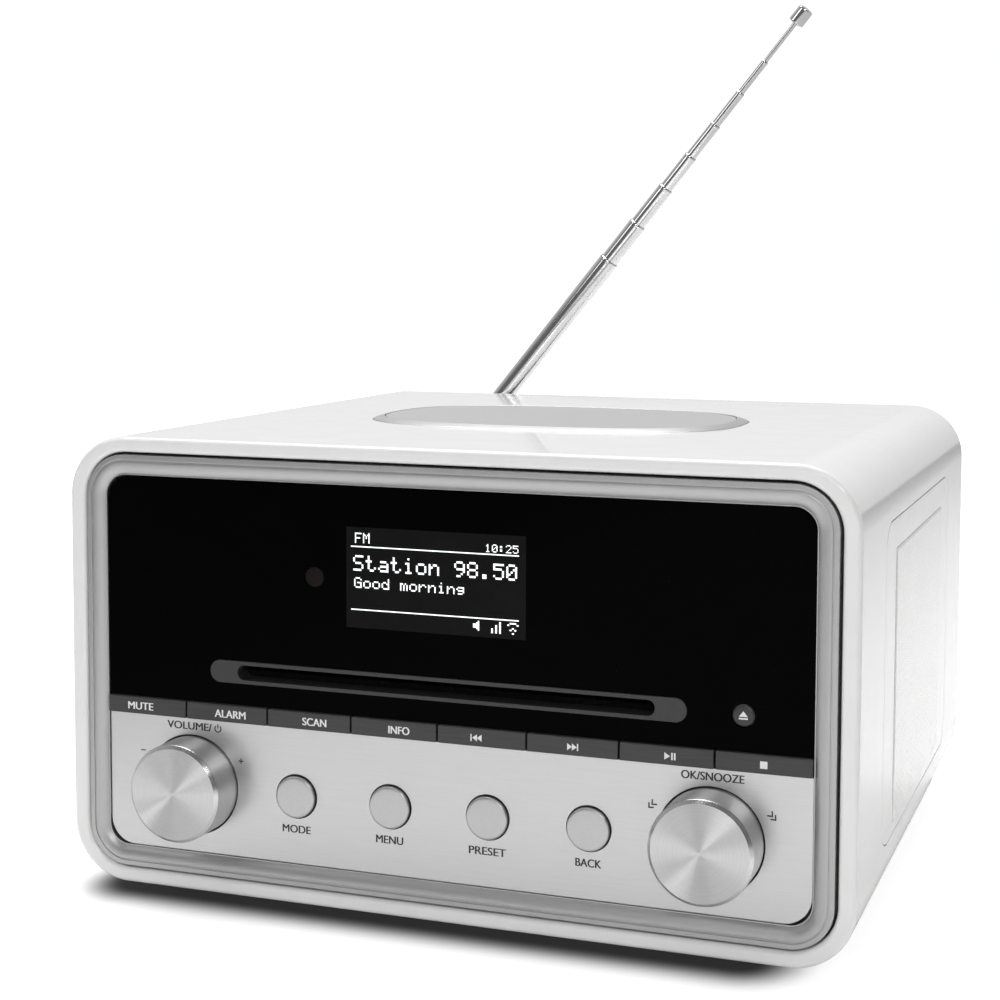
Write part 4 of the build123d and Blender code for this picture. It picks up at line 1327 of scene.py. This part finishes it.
beyond = maths(tree, "MAXIMUM", beyond, (0, 0, 0), "VectorMath")
beyond = maths(tree, "LENGTH", beyond, kind="VectorMath")
painted_contact_shadow = ramp(tree, beyond, SHADOW_FROM, SHADOW_TO, SHADOW_DEPTH, 1.0, "SMOOTHERSTEP")
sideways = add_node(tree, "SeparateXYZ", Vector=where).outputs["X"]
sideways = maths(tree, "ABSOLUTE", sideways)
dimmer = ramp(tree, sideways, DIM_FROM, DIM_TO, 1.0, DIMMEST, "SMOOTHSTEP")
tree.links.new(maths(tree, "MULTIPLY", painted_contact_shadow, dimmer), shader.inputs["Base Color"])
distance = maths(tree, "LENGTH", where, kind="VectorMath")
share = ramp(tree, ramp(tree, distance, GLOW_FROM, GLOW_TO), 0.0, 1.0, GLOW_LEAST)
# The glow the camera sees carries the same painted shadow.
glow = add_node(tree, "Emission", Color=painted_contact_shadow, Strength=GLOW_STRENGTH)


def mix_for_camera(tree, amount, usual, seen, output):
    """Show another shader to the camera than to the rest of the scene, by some amount."""
    ray = tree.nodes.new("ShaderNodeLightPath").outputs["Is Camera Ray"]
    mixer = tree.nodes.new("ShaderNodeMixShader")
    tree.links.new(maths(tree, "MULTIPLY", ray, amount), mixer.inputs[0])
    tree.links.new(usual.outputs[0], mixer.inputs[1])
    tree.links.new(seen.outputs[0], mixer.inputs[2])
    tree.links.new(mixer.outputs[0], tree.nodes[output].inputs["Surface"])


mix_for_camera(tree, share, shader, glow, "Material Output")
floor.data.materials.append(floor_finish)
print("floor radius:", round(floor.dimensions.x / 2, 2), "m")

# %% World
WHITE = (1, 1, 1, 1)
BACKDROP_STRENGTH, FRONT_STRENGTH, BACK_STRENGTH = 1.02, 0.16, 0.65
world = bpy.data.worlds.new("studio")
bpy.context.scene.world = world
world.use_nodes = True
tree = world.node_tree
ambient = tree.nodes["Background"]
ambient.inputs["Color"].default_value = WHITE
towards = tree.nodes.new("ShaderNodeTexCoord").outputs["Generated"]
heading = add_node(tree, "SeparateXYZ", Vector=towards).outputs
leftwards = maths(tree, "MULTIPLY", heading["X"], -0.2)
behind = maths(tree, "ADD", heading["Y"], leftwards)
brightness = ramp(tree, behind, -0.5, 0.6, FRONT_STRENGTH, BACK_STRENGTH, "SMOOTHSTEP")
tree.links.new(brightness, ambient.inputs["Strength"])
backdrop = add_node(tree, "Background", Color=WHITE, Strength=BACKDROP_STRENGTH)
mix_for_camera(tree, 1.0, ambient, backdrop, "World Output")

# %% Lamps: name, place, the point aimed at, width, height, power
LAMPS = [
    ("lamp_above", (-0.3, 0.3, 1.9), (0, 0, 0.1), 1.5, 1.4, 36),
    ("lamp_left", (-1.6, -1.4, 1.4), (0, 0, 0.08), 0.8, 0.8, 4),
    ("lamp_spark", (1.25, -1.85, 1.3), (0.05, -0.12, 0.04), 0.22, 0.22, 6),
    ("lamp_front", (0.5, -2.2, 0.95), (0, 0, 0.09), 1.0, 0.6, 9),
]
for name, spot, aim, width, height, power in LAMPS:
    deselect()
    bpy.ops.object.light_add(type="AREA", location=spot)
    light = bpy.context.object
    light.name = name
    light.data.shape = "RECTANGLE"
    light.data.size = width
    light.data.size_y = height
    light.data.energy = power
    light.rotation_euler = (Vector(aim) - Vector(spot)).to_track_quat("-Z", "Y").to_euler()
print("lamps:", len(LAMPS))
